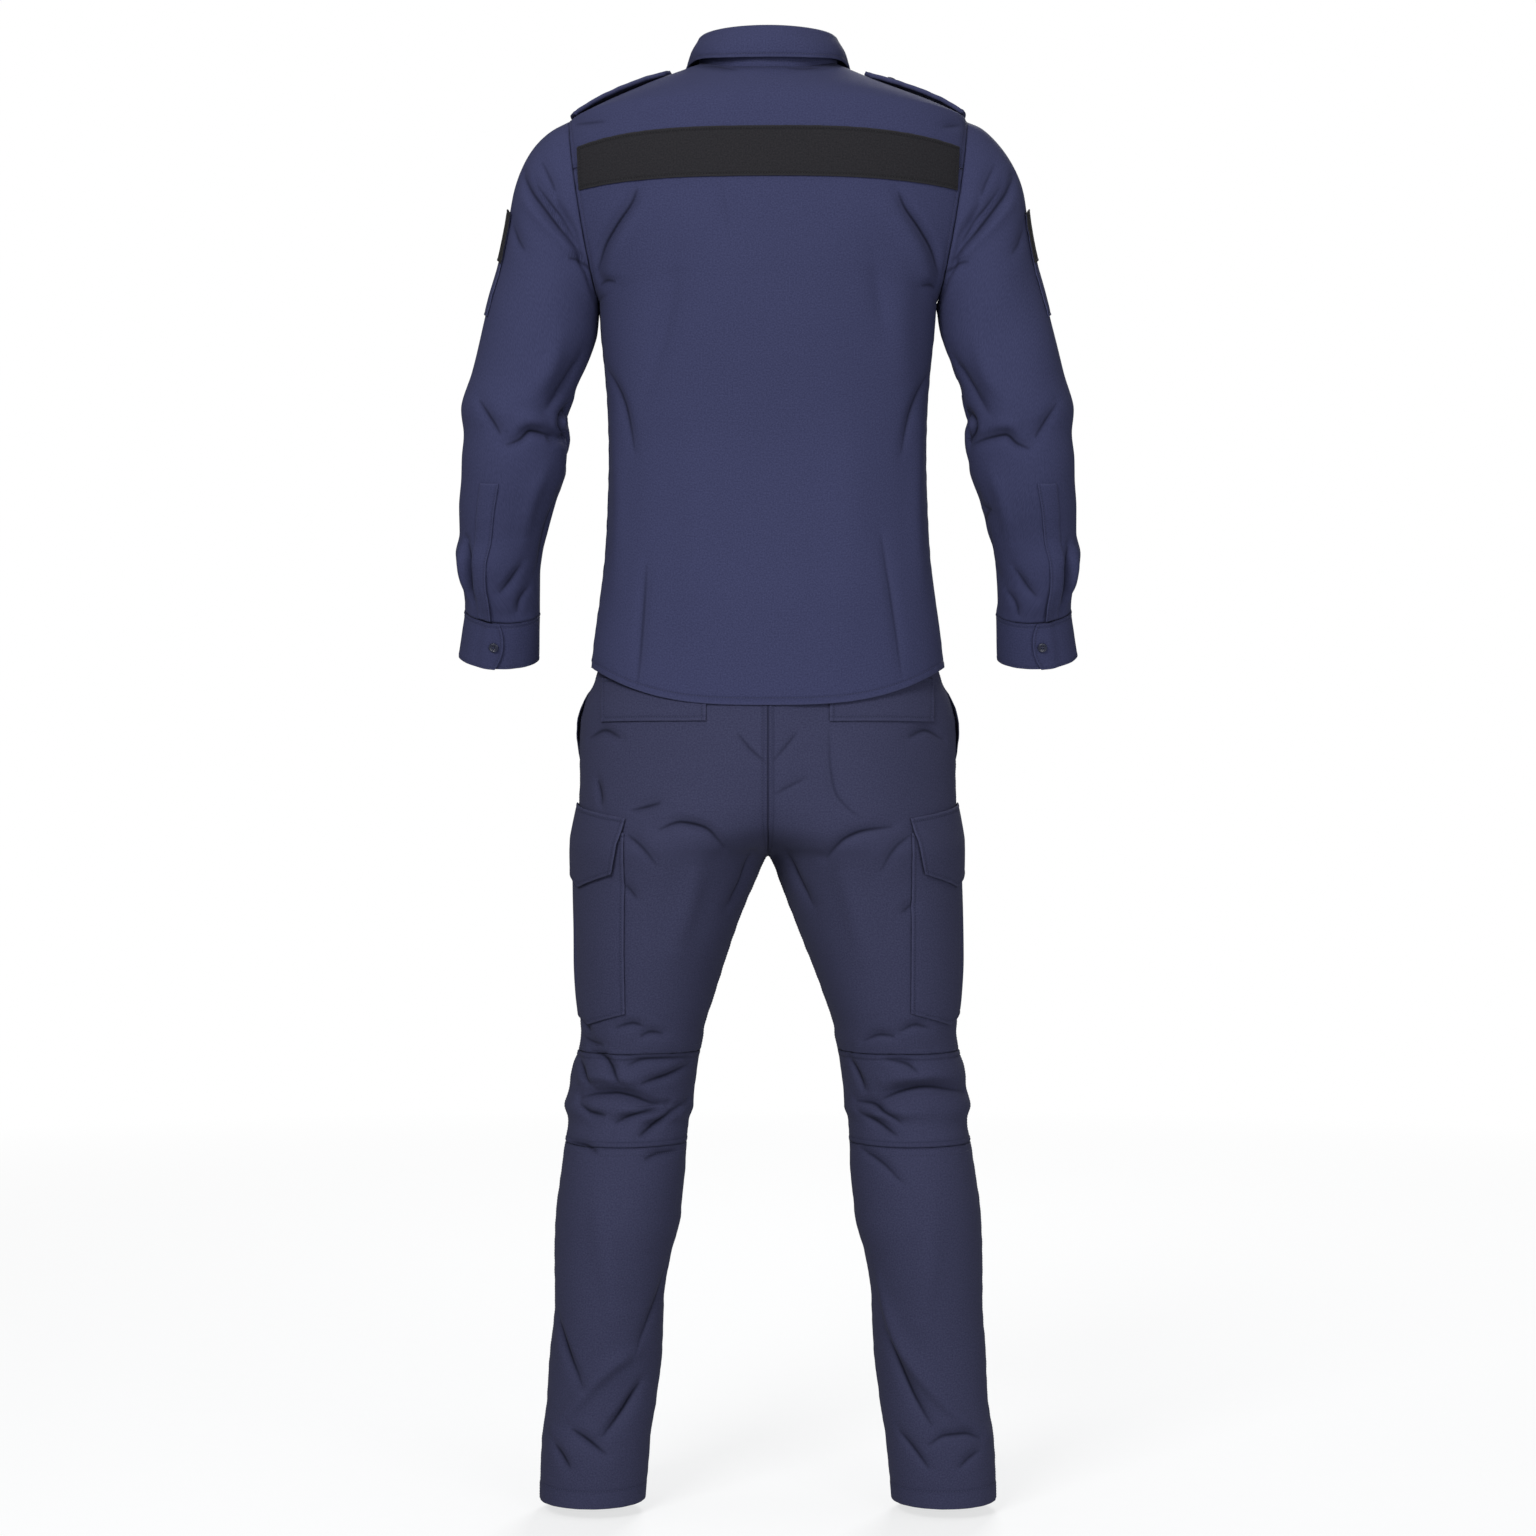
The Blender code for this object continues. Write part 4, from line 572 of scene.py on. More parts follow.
# A panel's grid between its stations, with its edges shaped: edges gives for start, end, left and
# right None, or the width of its stitched fold, and joined names those that are sewn to a neighbour.
def woven(surface, us, vs, edges, facing=1, lift=0.0, closed=False, seed=1.0, out=None, joined="", laid=()):
    u, v = np.meshgrid(us, vs, indexing="ij")
    smooth = surface(u, v)
    if out is None:
        out = gridOut(smooth) * facing
        if closed:
            wrapped = np.concatenate([smooth[:, -2:-1], smooth, smooth[:, 1:2]], axis=1)
            out = gridOut(wrapped)[:, 1:-1] * facing
            out[:, -1] = out[:, 0]
    runU, runV = cumulative(smooth, 0), cumulative(smooth, 1)
    rise = np.full(u.shape, float(lift))
    sides = {"start": (runU, runV), "end": (runU[-1:] - runU, runV),
             "left": (runV, runU), "right": (runV[:, -1:] - runV, runU)}
    # Along the edges for the material: free edges paler, for wear and a painted highlight, and seams and stitch rows
    # darker, a painted shade of their grooves
    pale, dark = np.zeros(u.shape), np.zeros(u.shape)
    for number, (edge, width) in enumerate(edges.items()):
        distance, run = sides[edge]
        if width is None:
            continue
        rise += edgeRise(distance, width) + pucker(run, distance, seed + number)
        if edge in joined.split():
            dark = np.maximum(dark, bell(distance / 0.0015))
        else:
            pale = np.maximum(pale, bell(distance / 0.0016))
        if width:
            dark = np.maximum(dark, 0.7 * bell((distance - width) / 0.0011))
    worn = pale * (1 - dark) - dark
    points = smooth + out * rise[..., None]
    cells = np.cross(np.diff(smooth, axis=0)[:, :-1], np.diff(smooth, axis=1)[:-1])
    made = Cloth(us, vs, points, out, (runV.max(), runU.max()), np.linalg.norm(cells, axis=-1).sum())
    made.run, made.worn, made.closed, made.marks = (runU, runV), worn, closed, creaseMarks(points, laid)
    return made


# Seam allowance in the middle of the seat, in metres: how near the middle it runs, how far it
# stands behind the cloth, and how far it reaches to each side
allowanceValues = {"middle": .0028, "behind": .0006, "own": .004, "beyond": .005}


# Seam allowance: a strip along one side edge, behind the cloth, that reaches under its neighbour
def seamStrip(points, cloth, edge, thickness, mirror):
    side, beside = (0, 1) if edge == "left" else (-1, -2)
    straight = np.abs(points[:, side, 0]) < allowanceValues["middle"]
    points, ways = points[straight], cloth.out[straight]
    line, out = points[:, side], ways[:, side] * np.array([-1.0 if mirror else 1.0, 1, 1])
    beyond = unit((line - points[:, beside]) * np.array([1.0, 0, 0]))
    behind = line - out * (thickness + allowanceValues["behind"])
    ends = behind - beyond * allowanceValues["own"], behind + beyond * allowanceValues["beyond"]
    strip = np.stack([ends[0], behind, ends[1]], axis=1)
    faces = quadsOf(np.arange(len(line) * 3).reshape(-1, 3))
    if gridOut(strip)[len(line) // 2, 1] @ out[len(line) // 2] < 0:
        faces = faces[:, ::-1]
    return strip.reshape(-1, 3), faces


# A finished mesh as an object that rides on the part's one body
def placed(name, mesh, material, nodes=()):
    mesh.polygons.foreach_set("use_smooth", np.ones(len(mesh.polygons), bool))
    mesh.materials.append(material)
    piece = bpy.data.objects.new(name, mesh)
    bpy.context.scene.collection.objects.link(piece)
    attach(piece, "root")
    if nodes:
        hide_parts(*nodes)
    return piece


# One object from a woven grid: half a seam gap in from each edge, UV in metres along the cloth,
# the attribute of edge wear and painted light, which is 1 along its free edges for wear and a painted
# highlight and -1 along its seams for painted shade, and the crease marks for the painted crease shade.
def tailored(name, cloth, nodes, material, thickness, mirror=False, allowance=None):
    points = cloth.points.copy()
    for edge, following in ((0, 1), (-1, -2)):
        points[edge] += unit(cloth.points[following] - cloth.points[edge]) * seamGap / 2
        if not cloth.closed:
            points[:, edge] += unit(cloth.points[:, following] - cloth.points[:, edge]) * seamGap / 2
    points = points - np.array([0, 0, neckHeight])
    if mirror:
        points = mirrored(points)
    rows, columns = points.shape[:2]
    keep = columns - 1 if cloth.closed else columns
    number = np.arange(rows * keep).reshape(rows, keep)
    if cloth.closed:
        number = np.hstack([number, number[:, :1]])
    quads, corners = quadsOf(number), quadsOf(np.arange(rows * columns).reshape(rows, columns))
    middle = rows // 2, columns // 2
    wanted = mirrored(cloth.out[middle]) if mirror else cloth.out[middle]
    if gridOut(points)[middle] @ wanted < 0:
        quads, corners = quads[:, ::-1], corners[:, ::-1]
    places = points[:, :keep].reshape(-1, 3)
    flat = np.stack([cloth.run[1] - cloth.run[1][:, columns // 2, None], cloth.run[0]], axis=-1).reshape(-1, 2)
    wornAt = cloth.worn[:, :keep].ravel()
    if allowance:
        strip, faces = seamStrip(points, cloth, allowance, thickness, mirror)
        quads = np.concatenate([quads, faces + len(places)])
        corners = np.concatenate([corners, faces + len(flat)])
        places = np.concatenate([places, strip])
        wornAt = np.concatenate([wornAt, np.full(len(strip), -1.0)])
        flat = np.concatenate([flat, strip[:, [0, 2]]])
    mesh = bpy.data.meshes.new(name)
    mesh.from_pydata(places, [], quads.tolist())
    layer = mesh.uv_layers.new(name="cloth")
    layer.data.foreach_set("uv", flat[corners.ravel()].ravel().astype(np.float32))
    extra = np.zeros(len(places) - rows * keep)
    away, deep = (grid[:, :keep].ravel() for grid in cloth.marks)
    away, deep = np.concatenate([away * 100, extra + 5]), np.concatenate([deep, extra])
    for attribute, values in (("worn", wornAt), ("creaseAway", away), ("creaseDeep", deep)):
        layer = mesh.attributes.new(attribute, "FLOAT", "POINT")
        layer.data.foreach_set("value", values.astype(np.float32))
    piece = placed(name, mesh, material, nodes)
    wall = piece.modifiers.new("wall", "SOLIDIFY")
    wall.thickness, wall.offset = thickness, -1
    width, length = cloth.cut
    area = max(min(cloth.area, width * length), 0.31 * width * length)


class Shade:  # wraps one socket, so that sums on values read as plain sums
    def __init__(self, made, socket):
        self.made, self.socket = made, socket

    def sum(self, operation, first, second):
        return self.made.add("ShaderNodeMath", {"operation": operation}, {0: first, 1: second})

    def of(self, operation):
        return self.made.add("ShaderNodeMath", {"operation": operation}, {0: self})

    def __add__(self, other):
        return self.sum("ADD", self, other)

    def __radd__(self, other):
        return self.sum("ADD", other, self)

    def __sub__(self, other):
        return self.sum("SUBTRACT", self, other)

    def __rsub__(self, other):
        return self.sum("SUBTRACT", other, self)

    def __mul__(self, other):
        return self.sum("MULTIPLY", self, other)

    def __rmul__(self, other):
        return self.sum("MULTIPLY", other, self)


class Finish:  # one material and the nodes that it is made of
    def __init__(self, name):
        self.material = bpy.data.materials.new(name)
        self.material.use_nodes = True
        self.tree = self.material.node_tree
        self.shader = self.tree.nodes["Principled BSDF"]

    def add(self, kind, settings, values, output=0):
        node = self.tree.nodes.new(kind)
        for name, value in settings.items():
            setattr(node, name, value)
        self.join(node, values)
        return Shade(self, node.outputs[output])

    def join(self, node, values):
        for name, value in values.items():
            if isinstance(value, Shade):
                self.tree.links.new(value.socket, node.inputs[name])
            else:
                node.inputs[name].default_value = value

    def blend(self, share, first, second):
        first = (*first, 1) if isinstance(first, tuple) else first
        return self.add("ShaderNodeMix", {"data_type": "RGBA"}, {0: share, 6: first, 7: (*second, 1)}, 2)

    def noise(self, where, scale, detail, stretch=(1, 1, 1)):
        place = self.add("ShaderNodeMapping", {}, {"Vector": where, "Scale": stretch})
        return self.add("ShaderNodeTexNoise", {}, {"Vector": place, "Scale": scale, "Detail": detail}, 0)

    def attribute(self, name):
        return self.add("ShaderNodeAttribute", {"attribute_name": name}, {}, 2)


# Colours: the cloth's own dark and light tone, a paler one for edge wear and painted highlights, and a darker one for
# the painted shade of seams, stitch rows and creases
shirtCloth = {"name": "navyPoplin", "dark": (.036, .040, .094), "light": (.052, .057, .129),
              "worn": (.075, .081, .165), "seam": (.020, .022, .050),
              "pitch": .00055, "twill": 0, "rough": .88, "sheen": .02, "gloss": .08, "bump": .20}
trouserCloth = {"name": "navyTwill", "dark": (.035, .037, .078), "light": (.052, .055, .110),
                "worn": (.072, .076, .145), "seam": (.018, .020, .044),
                "pitch": .00070, "twill": 1, "rough": .90, "sheen": .02, "gloss": .08, "bump": .26}
blackCloth = {"name": "blackTwill", "dark": (.0165, .0160, .0190), "light": (.0270, .0262, .0300),
              "worn": (.040, .039, .044), "seam": (.008, .008, .009),
              "pitch": .00070, "twill": 1, "rough": .90, "sheen": .02, "gloss": .10, "bump": .28}


# Cloth: a weave of crossing sines on the UV map, in metres, with uneven yarns and broad cloudy
# patches, lighter along free edges for wear and a painted highlight, and darker in seams as painted
# shade. Each fold's dark line of painted shade is a narrow and a broad bell of how far off its middle
# is, in centimetres, times how deep it is, and beside it runs a paler lip of painted highlight.
def clothFinish(values):
    made = Finish(values["name"])
    place = made.add("ShaderNodeUVMap", {"uv_map": "cloth"}, {})
    parts = made.tree.nodes.new("ShaderNodeSeparateXYZ")
    made.join(parts, {0: place})
    across, along = Shade(made, parts.outputs[0]), Shade(made, parts.outputs[1])
    turn = 2 * math.pi / values["pitch"]
    if values["twill"]:
        weave = ((across + along) * turn).of("SINE")
    else:
        weave = (across * turn).of("SINE") * (along * turn).of("SINE")
    warpYarns = made.noise(place, 1.0, 2, (2600, 55, 1))
    weftYarns = made.noise(place, 1.0, 2, (55, 2600, 1))
    solid = made.add("ShaderNodeTexCoord", {}, {}, 3)
    cloud = made.noise(solid, 9.0, 3)
    speckle = made.noise(place, 1.0, 2, (560, 560, 1))
    shade = weave * 0.10 + warpYarns * 0.55 + weftYarns * 0.45 + cloud * 0.35 + speckle * 2.40 - 1.40
    colour = made.blend(shade, values["dark"], values["light"])
    # Paler along free edges for wear and a painted highlight, darker along seams as painted shade
    worn = made.attribute("worn")
    colour = made.blend(worn * 0.30, colour, values["worn"])
    colour = made.blend(worn * -0.60, colour, values["seam"])
    # Painted shade of each fold: a fine dark line and a broad shadow, and a painted highlight on the lip beside it;
    # the fine line also sinks the bump
    away, deep = made.attribute("creaseAway"), made.attribute("creaseDeep")
    fold = (away * away * -36.5).of("EXPONENT") * deep
    shadow = (away * away * -2.9).of("EXPONENT") * deep
    lipHighlight = ((away - 0.42) * (away - 0.42) * -14.0).of("EXPONENT") * deep
    colour = made.blend(lipHighlight * 0.38, colour, values["worn"])
    colour = made.blend(shadow * 0.46, colour, values["seam"])
    colour = made.blend(fold * 0.92, colour, tuple(c * 0.35 for c in values["seam"]))
    height = weave * 0.5 + warpYarns * 0.5 + weftYarns * 0.5 - fold * 6.0
    bump = made.add("ShaderNodeBump", {}, {"Height": height, "Strength": values["bump"], "Distance": 0.00025})
    rough = cloud * 0.12 + (values["rough"] - 0.06)
    made.join(made.shader, {"Base Color": colour, "Roughness": rough, "Normal": bump, "Sheen Roughness": 0.5,
                            "Sheen Weight": values["sheen"], "Specular IOR Level": values["gloss"]})
    return made.material


threadValues = {"navy": (.034, .037, .078), "black": (.014, .014, .016),
                "buttonDark": (.012, .014, .030), "buttonLight": (.024, .028, .058)}


def threadFinish(name, colour):
    made = Finish(name)
    solid = made.add("ShaderNodeTexCoord", {}, {}, 3)
    twist = made.noise(solid, 900.0, 1)
    lighter = tuple(c * 1.6 for c in colour)
    mixed = made.blend(twist, colour, lighter)
    made.join(made.shader, {"Base Color": mixed, "Roughness": 0.6, "Specular IOR Level": 0.25})
    return made.material


def buttonFinish():
    made = Finish("buttonPlastic")
    solid = made.add("ShaderNodeTexCoord", {}, {}, 3)
    swirl = made.noise(solid, 260.0, 3)
    colour = made.blend(swirl, threadValues["buttonDark"], threadValues["buttonLight"])
    made.join(made.shader, {"Base Color": colour, "Roughness": swirl * 0.12 + 0.26, "Coat Weight": 0.2})
    return made.material


poplin, twill, blackTwill = clothFinish(shirtCloth), clothFinish(trouserCloth), clothFinish(blackCloth)
navyThread = threadFinish("navyThread", threadValues["navy"])
blackThread = threadFinish("blackThread", threadValues["black"])
buttonPlastic = buttonFinish()
print("materials made")


# Shirt body
bodyValues = {"loose": .0012, "waves": .16, "hem": .008, "wall": .0011, "fell": .0055}


def bodyFade(level, share):
    return (1 - easedStep(np.abs(share), 0.90, 0.995)) * (1 - easedStep(level, 19.5, 21)) * easedStep(level, -0.4, 0.8)


def bodySurface(facing, rows, seed):
    place = lambda u, v: shirtPlace(u, v, facing)
    laid = []
    for side, first, last in (("L", 0, 1), ("R", -1, 0)):
        for line, out, rise, width, lean in laidCreases(rows, side, place, (0, 21), (0.0, 0.999)):
            if side == "R":
                line, out, lean = mirrored(line), mirrored(out), -lean
            laid.append((line, out * facing, rise, width, lean))
    return clothOver(place, laid, bodyValues["loose"], bodyValues["waves"], seed, bodyFade, facing)


backCloth = bodySurface(1, shirtBackCreases, 3)
frontCloth = bodySurface(-1, shirtFrontCreases, 5)
shareEnd = 0.9999
hem, fell = bodyValues["hem"], bodyValues["fell"]


def backPanel(name, node, levels, startRow, endRow, joined, seed):
    fine = finest * grids["back"]
    endRows = [endRow] if endRow else []
    us = stations(lambda t: backCloth(t, 0 * t + 0.35), *levels, [startRow], endRows, fine)
    middle = min(levels[0] + 4, 11)
    vs = stations(lambda t: backCloth(0 * t + middle, t), -shareEnd, shareEnd, [fell], [fell], fine)
    edges = {"start": startRow, "end": endRow, "left": fell, "right": fell}
    cloth = woven(backCloth, us, vs, edges, seed=seed, joined=joined, laid=backCloth.laid)
    tailored(name, cloth, [node], poplin, bodyValues["wall"])
    return cloth


back = backPanel("shirtBack", "shirt_back", (0, yokeLevel), hem, 0, "end left right", 1.3)
yoke = backPanel("shirtYoke", "shirt_yoke", (yokeLevel, neckLevel), .0035, .0026, "start end left right", 2.1)
front, fine = {}, finest * grids["front"]
for word, sign in (("left", 1), ("right", -1)):
    half = lambda u, v, sign=sign: frontCloth(u, v * sign)
    rows = stations(lambda t: half(t, 0 * t + 0.35), 0, neckLevel, [hem], [], fine)
    columns = stations(lambda t: half(0 * t + 7, t), 0.0, shareEnd, [0.002], [0.0035], fine)
    edges = {"start": hem, "end": 0, "left": 0, "right": 0}
    front[word] = woven(half, rows, columns, edges, seed=3.3 + sign, joined="end left right", laid=frontCloth.laid)
    tailored("shirtFront" + word.title(), front[word], ["shirt_front_" + word], poplin, bodyValues["wall"])
print("shirt body made")

# Trousers
legValues = {"loose": .0010, "waves": .13, "wall": .0012, "hem": .020, "fell": .006,
             "gape": .0055, "gapeRings": (2.2, 5.6)}


def legFade(ring, turn):
    middle = easedStep(np.abs(turn), 158, 180) * (1 - easedStep(ring, crotchRing, crotchRing + 1.5))
    return easedStep(ring, 1.0, 2.4) * (1 - middle) * (1 - 0.7 * easedStep(ring, 28.2, 29))


def legSurface(side, seed):
    laid = laidCreases(legBackCreases, side, legPlace, (1, 29), (0.5, 179.5))
    laid += laidCreases(legFrontCreases, side, legPlace, (1, 29), (-179.5, -0.5))
    return clothOver(legPlace, laid, legValues["loose"], legValues["waves"], seed, legFade)


def trouserSide(word, side, mirror, seed):
    surface = legSurface(side, seed)
    middle = sum(legValues["gapeRings"]) / 2

    def gaping(u, v):
        along = np.clip(1 - ((u - middle) / 1.6) ** 2, 0, 1)
        across = np.clip(1 + v / 45, 0, 1) ** 2
        return surface(u, v) + wayOut(legPlace, u, v) * (legValues["gape"] * along * across)[..., None]

    fell, hem, wall, made = legValues["fell"], legValues["hem"], legValues["wall"], {"surface": surface}
    panels = (("thigh", waistSeam, kneeSeam, 8, None, 0), ("knee", kneeSeam, calfSeam, 18.5, fell, fell),
              ("calf", calfSeam, trouserHem, 25, 0, hem))
    for name, first, last, ring, start, finish in panels:
        fine = finest * grids[name]
        near = [start] if start else [0.002], [finish] if finish else [0.002]
        rows = stations(lambda t: surface(t, 0 * t + 90), first, last, *near, fine)
        turns = stations(lambda t: surface(0 * t + ring, t), 0, 180, [fell], [fell], fine)
        edges = {"start": start, "end": finish, "left": fell, "right": fell if name == "thigh" else 0}
        joined = "start left right" if name == "calf" else "start end left right"
        made[name] = woven(surface, rows, turns, edges, seed=seed + last, joined=joined, laid=surface.laid)
        tailored(name + word.title(), made[name], ["back_%s_%s" % (name, word)], twill, wall,
                 mirror=mirror, allowance="right" if name == "thigh" and word == "left" else None)
    fine = finest * grids["front"]
    rows = stations(lambda t: surface(t, 0 * t - 90), waistSeam, trouserHem, [], [hem], fine)
    turns = stations(lambda t: surface(0 * t + 6, t), -180, 0, [fell], [0.002, fell], fine)
    edges = {"start": None, "end": hem, "left": 0, "right": 0}
    made["front"] = woven(gaping, rows, turns, edges, seed=seed + 7, joined="left right", laid=surface.laid)
    node = "trouser_front_" + word
    tailored("trouserFront" + word.title(), made["front"], [node], twill, wall, mirror=mirror)
    return made


trousers = {"left": trouserSide("left", "L", False, 11), "right": trouserSide("right", "R", True, 23)}
print("trousers made")

# Sleeves
sleeveValues = {"loose": .0009, "waves": .11, "wall": .0011, "armpitRoom": .04}


def sleeveFade(ring, turn):
    return easedStep(ring, 0.05, 1.0) * (1 - easedStep(ring, 18.5, 19))


def sleeveTube(word, side, mirror, seed):
    laid = laidCreases(sleeveBackCreases, side, sleevePlace, (0, 19), (1, 179))
    laid += laidCreases(sleeveFrontCreases, side, sleevePlace, (0, 19), (-179, -1))
    surface = clothOver(sleevePlace, laid, sleeveValues["loose"], sleeveValues["waves"], seed, sleeveFade)

    def roomy(u, v):
        start = sleeveValues["armpitRoom"] * np.sin(np.radians(v / 2)) ** 2
        return surface(start + u * (1 - start / 19), v)

    rows = stations(lambda t: roomy(t, 0 * t + 40), 0, cuffRing, [0.002], [0.002], finest * grids["sleeve"])
    turns = stations(lambda t: sleevePlace(0 * t + 8, t), -180, 180, [], [], finest * grids["sleeve"])
    edges = {"start": 0, "end": 0, "left": None, "right": None}
    cloth = woven(roomy, rows, turns, edges, closed=True, seed=seed, joined="start end", laid=laid)
    tailored("sleeve" + word.title(), cloth, ["sleeve_" + word], poplin, sleeveValues["wall"], mirror=mirror)
    return {"cloth": cloth, "surface": surface}


sleeves = {"left": sleeveTube("left", "L", False, 31), "right": sleeveTube("right", "R", True, 37)}
print("sleeves made")


# Stitching: every row of a garment goes into one mesh
stitchValues = {"pitch": .0031, "length": .0024, "half": .00030, "proud": .00026, "sunk": .00012}
sewn = {"Shirt": [], "Sleeves": [], "Trousers": [], "Band": []}


# Threads as spindles: a point at each end and two rings of four, proud of the cloth and half sunk
def threads(group, middle, along, way, length, wide=1.0):
    side = np.cross(way, along)
    half, proud, sunk = (stitchValues[word] * wide for word in ("half", "proud", "sunk"))
    ring = [way * proud, side * half, -way * sunk, -side * half]
    rows = [middle - along * length / 2 - way * sunk]
    for step in (-0.3, 0.3):
        rows += [middle + along * length * step + lean for lean in ring]
    rows.append(middle + along * length / 2 - way * sunk)
    sewn[group].append(np.stack(rows, axis=1))


# A row of stitches along a line on the cloth, a pitch apart, leaving trim free at both ends
def sewLine(group, line, out, trim=0.0, mirror=False):
    if mirror:
        line, out = mirrored(line), mirrored(out)
    run = np.concatenate([[0], np.cumsum(np.linalg.norm(np.diff(line, axis=0), axis=1))])
    marks = np.arange(trim + stitchValues["pitch"] / 2, run[-1] - trim, stitchValues["pitch"])
    if len(marks) < 2:
        return
    read3 = lambda at, of: np.stack([np.interp(at, run, of[:, k]) for k in range(3)], axis=-1)
    along = unit(read3(marks + 6e-4, line) - read3(marks - 6e-4, line))
    way = read3(marks, out)
    way = unit(way - along * (way * along).sum(axis=-1, keepdims=True))
    threads(group, read3(marks, line), along, way, stitchValues["length"])


def sewEdges(group, cloth, rows, mirror=False, trim=0.0):  # rows: edge and how far inside it
    for edge, distance in rows:
        line, out = cloth.at(*cloth.inset(edge, distance, 700))
        sewLine(group, line, out, trim, mirror)


def stitchMesh(group, material):
    rows = np.concatenate(sewn[group]) - np.array([0, 0, neckHeight])
    base = np.arange(len(rows))[:, None] * 10
    ends, sides = [], []
    for k in range(4):
        after = (k + 1) % 4
        ends += [base + np.array([0, 1 + after, 1 + k]), base + np.array([9, 5 + k, 5 + after])]
        sides.append(base + np.array([1 + k, 1 + after, 5 + after, 5 + k]))
    mesh = bpy.data.meshes.new("stitching" + group)
    mesh.from_pydata(rows.reshape(-1, 3), [], np.concatenate(ends).tolist() + np.concatenate(sides).tolist())
    placed("stitching" + group, mesh, material)


# A piece sewn on a surface. Its own places run from 0 to 1 down and across, and where turns them
# into places of the surface underneath. Swell is how far it stands off at each of them.
def sewnOn(name, nodes, base, plain, facing, where, widths, lift, material, thickness,
           swell=None, mirror=False, seed=1.0):
    def place(down, across):
        u, v = where(down, across)
        points = base(u, v)
        if swell is not None:
            points = points + wayOut(plain, u, v, facing) * swell(down, across)[..., None]
        return points

    spacing = finest * 0.85
    near = {edge: [width] if width else [0.002] for edge, width in widths.items()}
    rows = stations(lambda t: place(t, 0 * t + 0.5), 0, 1, near["start"], near["end"], spacing)
    columns = stations(lambda t: place(0 * t + 0.5, t), 0, 1, near["left"], near["right"], spacing)
    out = wayOut(plain, *where(*np.meshgrid(rows, columns, indexing="ij")), facing)
    cloth = woven(place, rows, columns, widths, lift=lift, seed=seed, out=out)
    tailored(name, cloth, nodes, material, thickness, mirror=mirror)
    return cloth


def span(first, last, left, right):  # places on a surface between two rows and two turns
    return lambda down, across: (first + (last - first) * down, left + (right - left) * across)


def allRound(width):
    return {"start": width, "end": width, "left": width, "right": width}


def edgesAt(distance, names="start end left right"):
    return [(edge, distance) for edge in names.split()]


backPlain = lambda u, v: shirtPlace(u, v, 1)
frontPlain = lambda u, v: shirtPlace(u, v, -1)

# Black band across the back
bandValues = {"reach": .965, "topReach": .922, "lift": .0019, "wall": .0011, "fold": .0034}


def bandWhere(down, across):
    reach = bandValues["topReach"] + (bandValues["reach"] - bandValues["topReach"]) * down
    return bandTop + (bandBottom - bandTop) * down, reach * (2 * across - 1)


band = sewnOn("backBand", ["back_band"], backCloth, backPlain, 1, bandWhere,
              allRound(bandValues["fold"]), bandValues["lift"], blackTwill, bandValues["wall"], seed=2.6)
sewEdges("Band", band, edgesAt(bandValues["fold"]), trim=.003)

# Front placket, as far to each side of the middle as its half width
placketValues = {"half": .0155, "top": 20.75, "lift": .0031, "wall": .0022, "row": .005,
                 "heights": (1.478, 1.386, 1.294, 1.202, 1.110, 1.018)}


# Share of the front's half at which it lies a distance across: the inverse of shirtPlace's sine
def shareAcross(level, across):
    edgeX, edgeY, _ = shirtEdge(level)
    power = np.interp(level, (bandTop, neckLevel), (0.86, 1.0))
    turn = np.arccos(np.clip(edgeY / read(centreLines, "frontDepth", level), 0, 1) ** (1 / power))
    return np.sign(across) * np.arcsin((np.abs(across) / edgeX) ** (1 / power) * np.sin(turn)) / turn


def placketWhere(down, across):
    level = down * placketValues["top"]
    return level, shareAcross(level, placketValues["half"] * (2 * across - 1))


placketEdges = {"start": .002, "end": 0, "left": placketValues["row"], "right": placketValues["row"]}
placket = sewnOn("frontPlacket", ["front_placket"], frontCloth, frontPlain, -1, placketWhere, placketEdges,
                 placketValues["lift"], poplin, placketValues["wall"], seed=4.4)
sewEdges("Shirt", placket, edgesAt(placketValues["row"], "left right"))

# Collar: its fall folds over the stand's top and comes down outside it
collarValues = {"across": .0735, "back": .0640, "front": .0700, "high": 1.6290, "low": 1.5600, "cloth": .0024,
                "wall": .0022, "out": .0030, "turnOut": .0064, "turnDown": .0026, "bow": .0030, "row": .0042,
                "skirt": .0060, "inside": .0013}
collarEdge = column("turn x y z", [
    (0, .0000, .0785, 1.5945), (35, .0475, .0690, 1.5958), (65, .0765, .0410, 1.6000), (90, .0895, .0000, 1.6020),
    (115, .0975, -.0400, 1.5850), (140, .0925, -.0780, 1.5430), (166, .0600, -.1080, 1.4950),
])
collarEdge["level"] = collarEdge["turn"]


def neckPlace(turn):  # the neck seam: turn is 0 in the middle of the back, 90 at the left
    away = np.abs(turn)
    back = shirtPlace(neckLevel, np.minimum(away, 90) / 90, 1)
    front = shirtPlace(neckLevel, np.minimum(180 - away, 90) / 90, -1)
    points = np.where((away <= 90)[..., None], back, front)
    return np.where((turn < 0)[..., None], mirrored(points), points)


def foldPlace(turn):  # an oval, whose height falls towards the front with a power of the cosine
    behind = np.cos(np.radians(turn))
    depth = np.where(behind > 0, collarValues["back"], collarValues["front"]) * behind
    end = np.where(behind > 0, collarValues["high"], collarValues["low"])
    height = collarValues["high"] + (end - collarValues["high"]) * np.abs(behind) ** 1.6
    return np.stack([collarValues["across"] * np.sin(np.radians(turn)), depth, height], axis=-1)


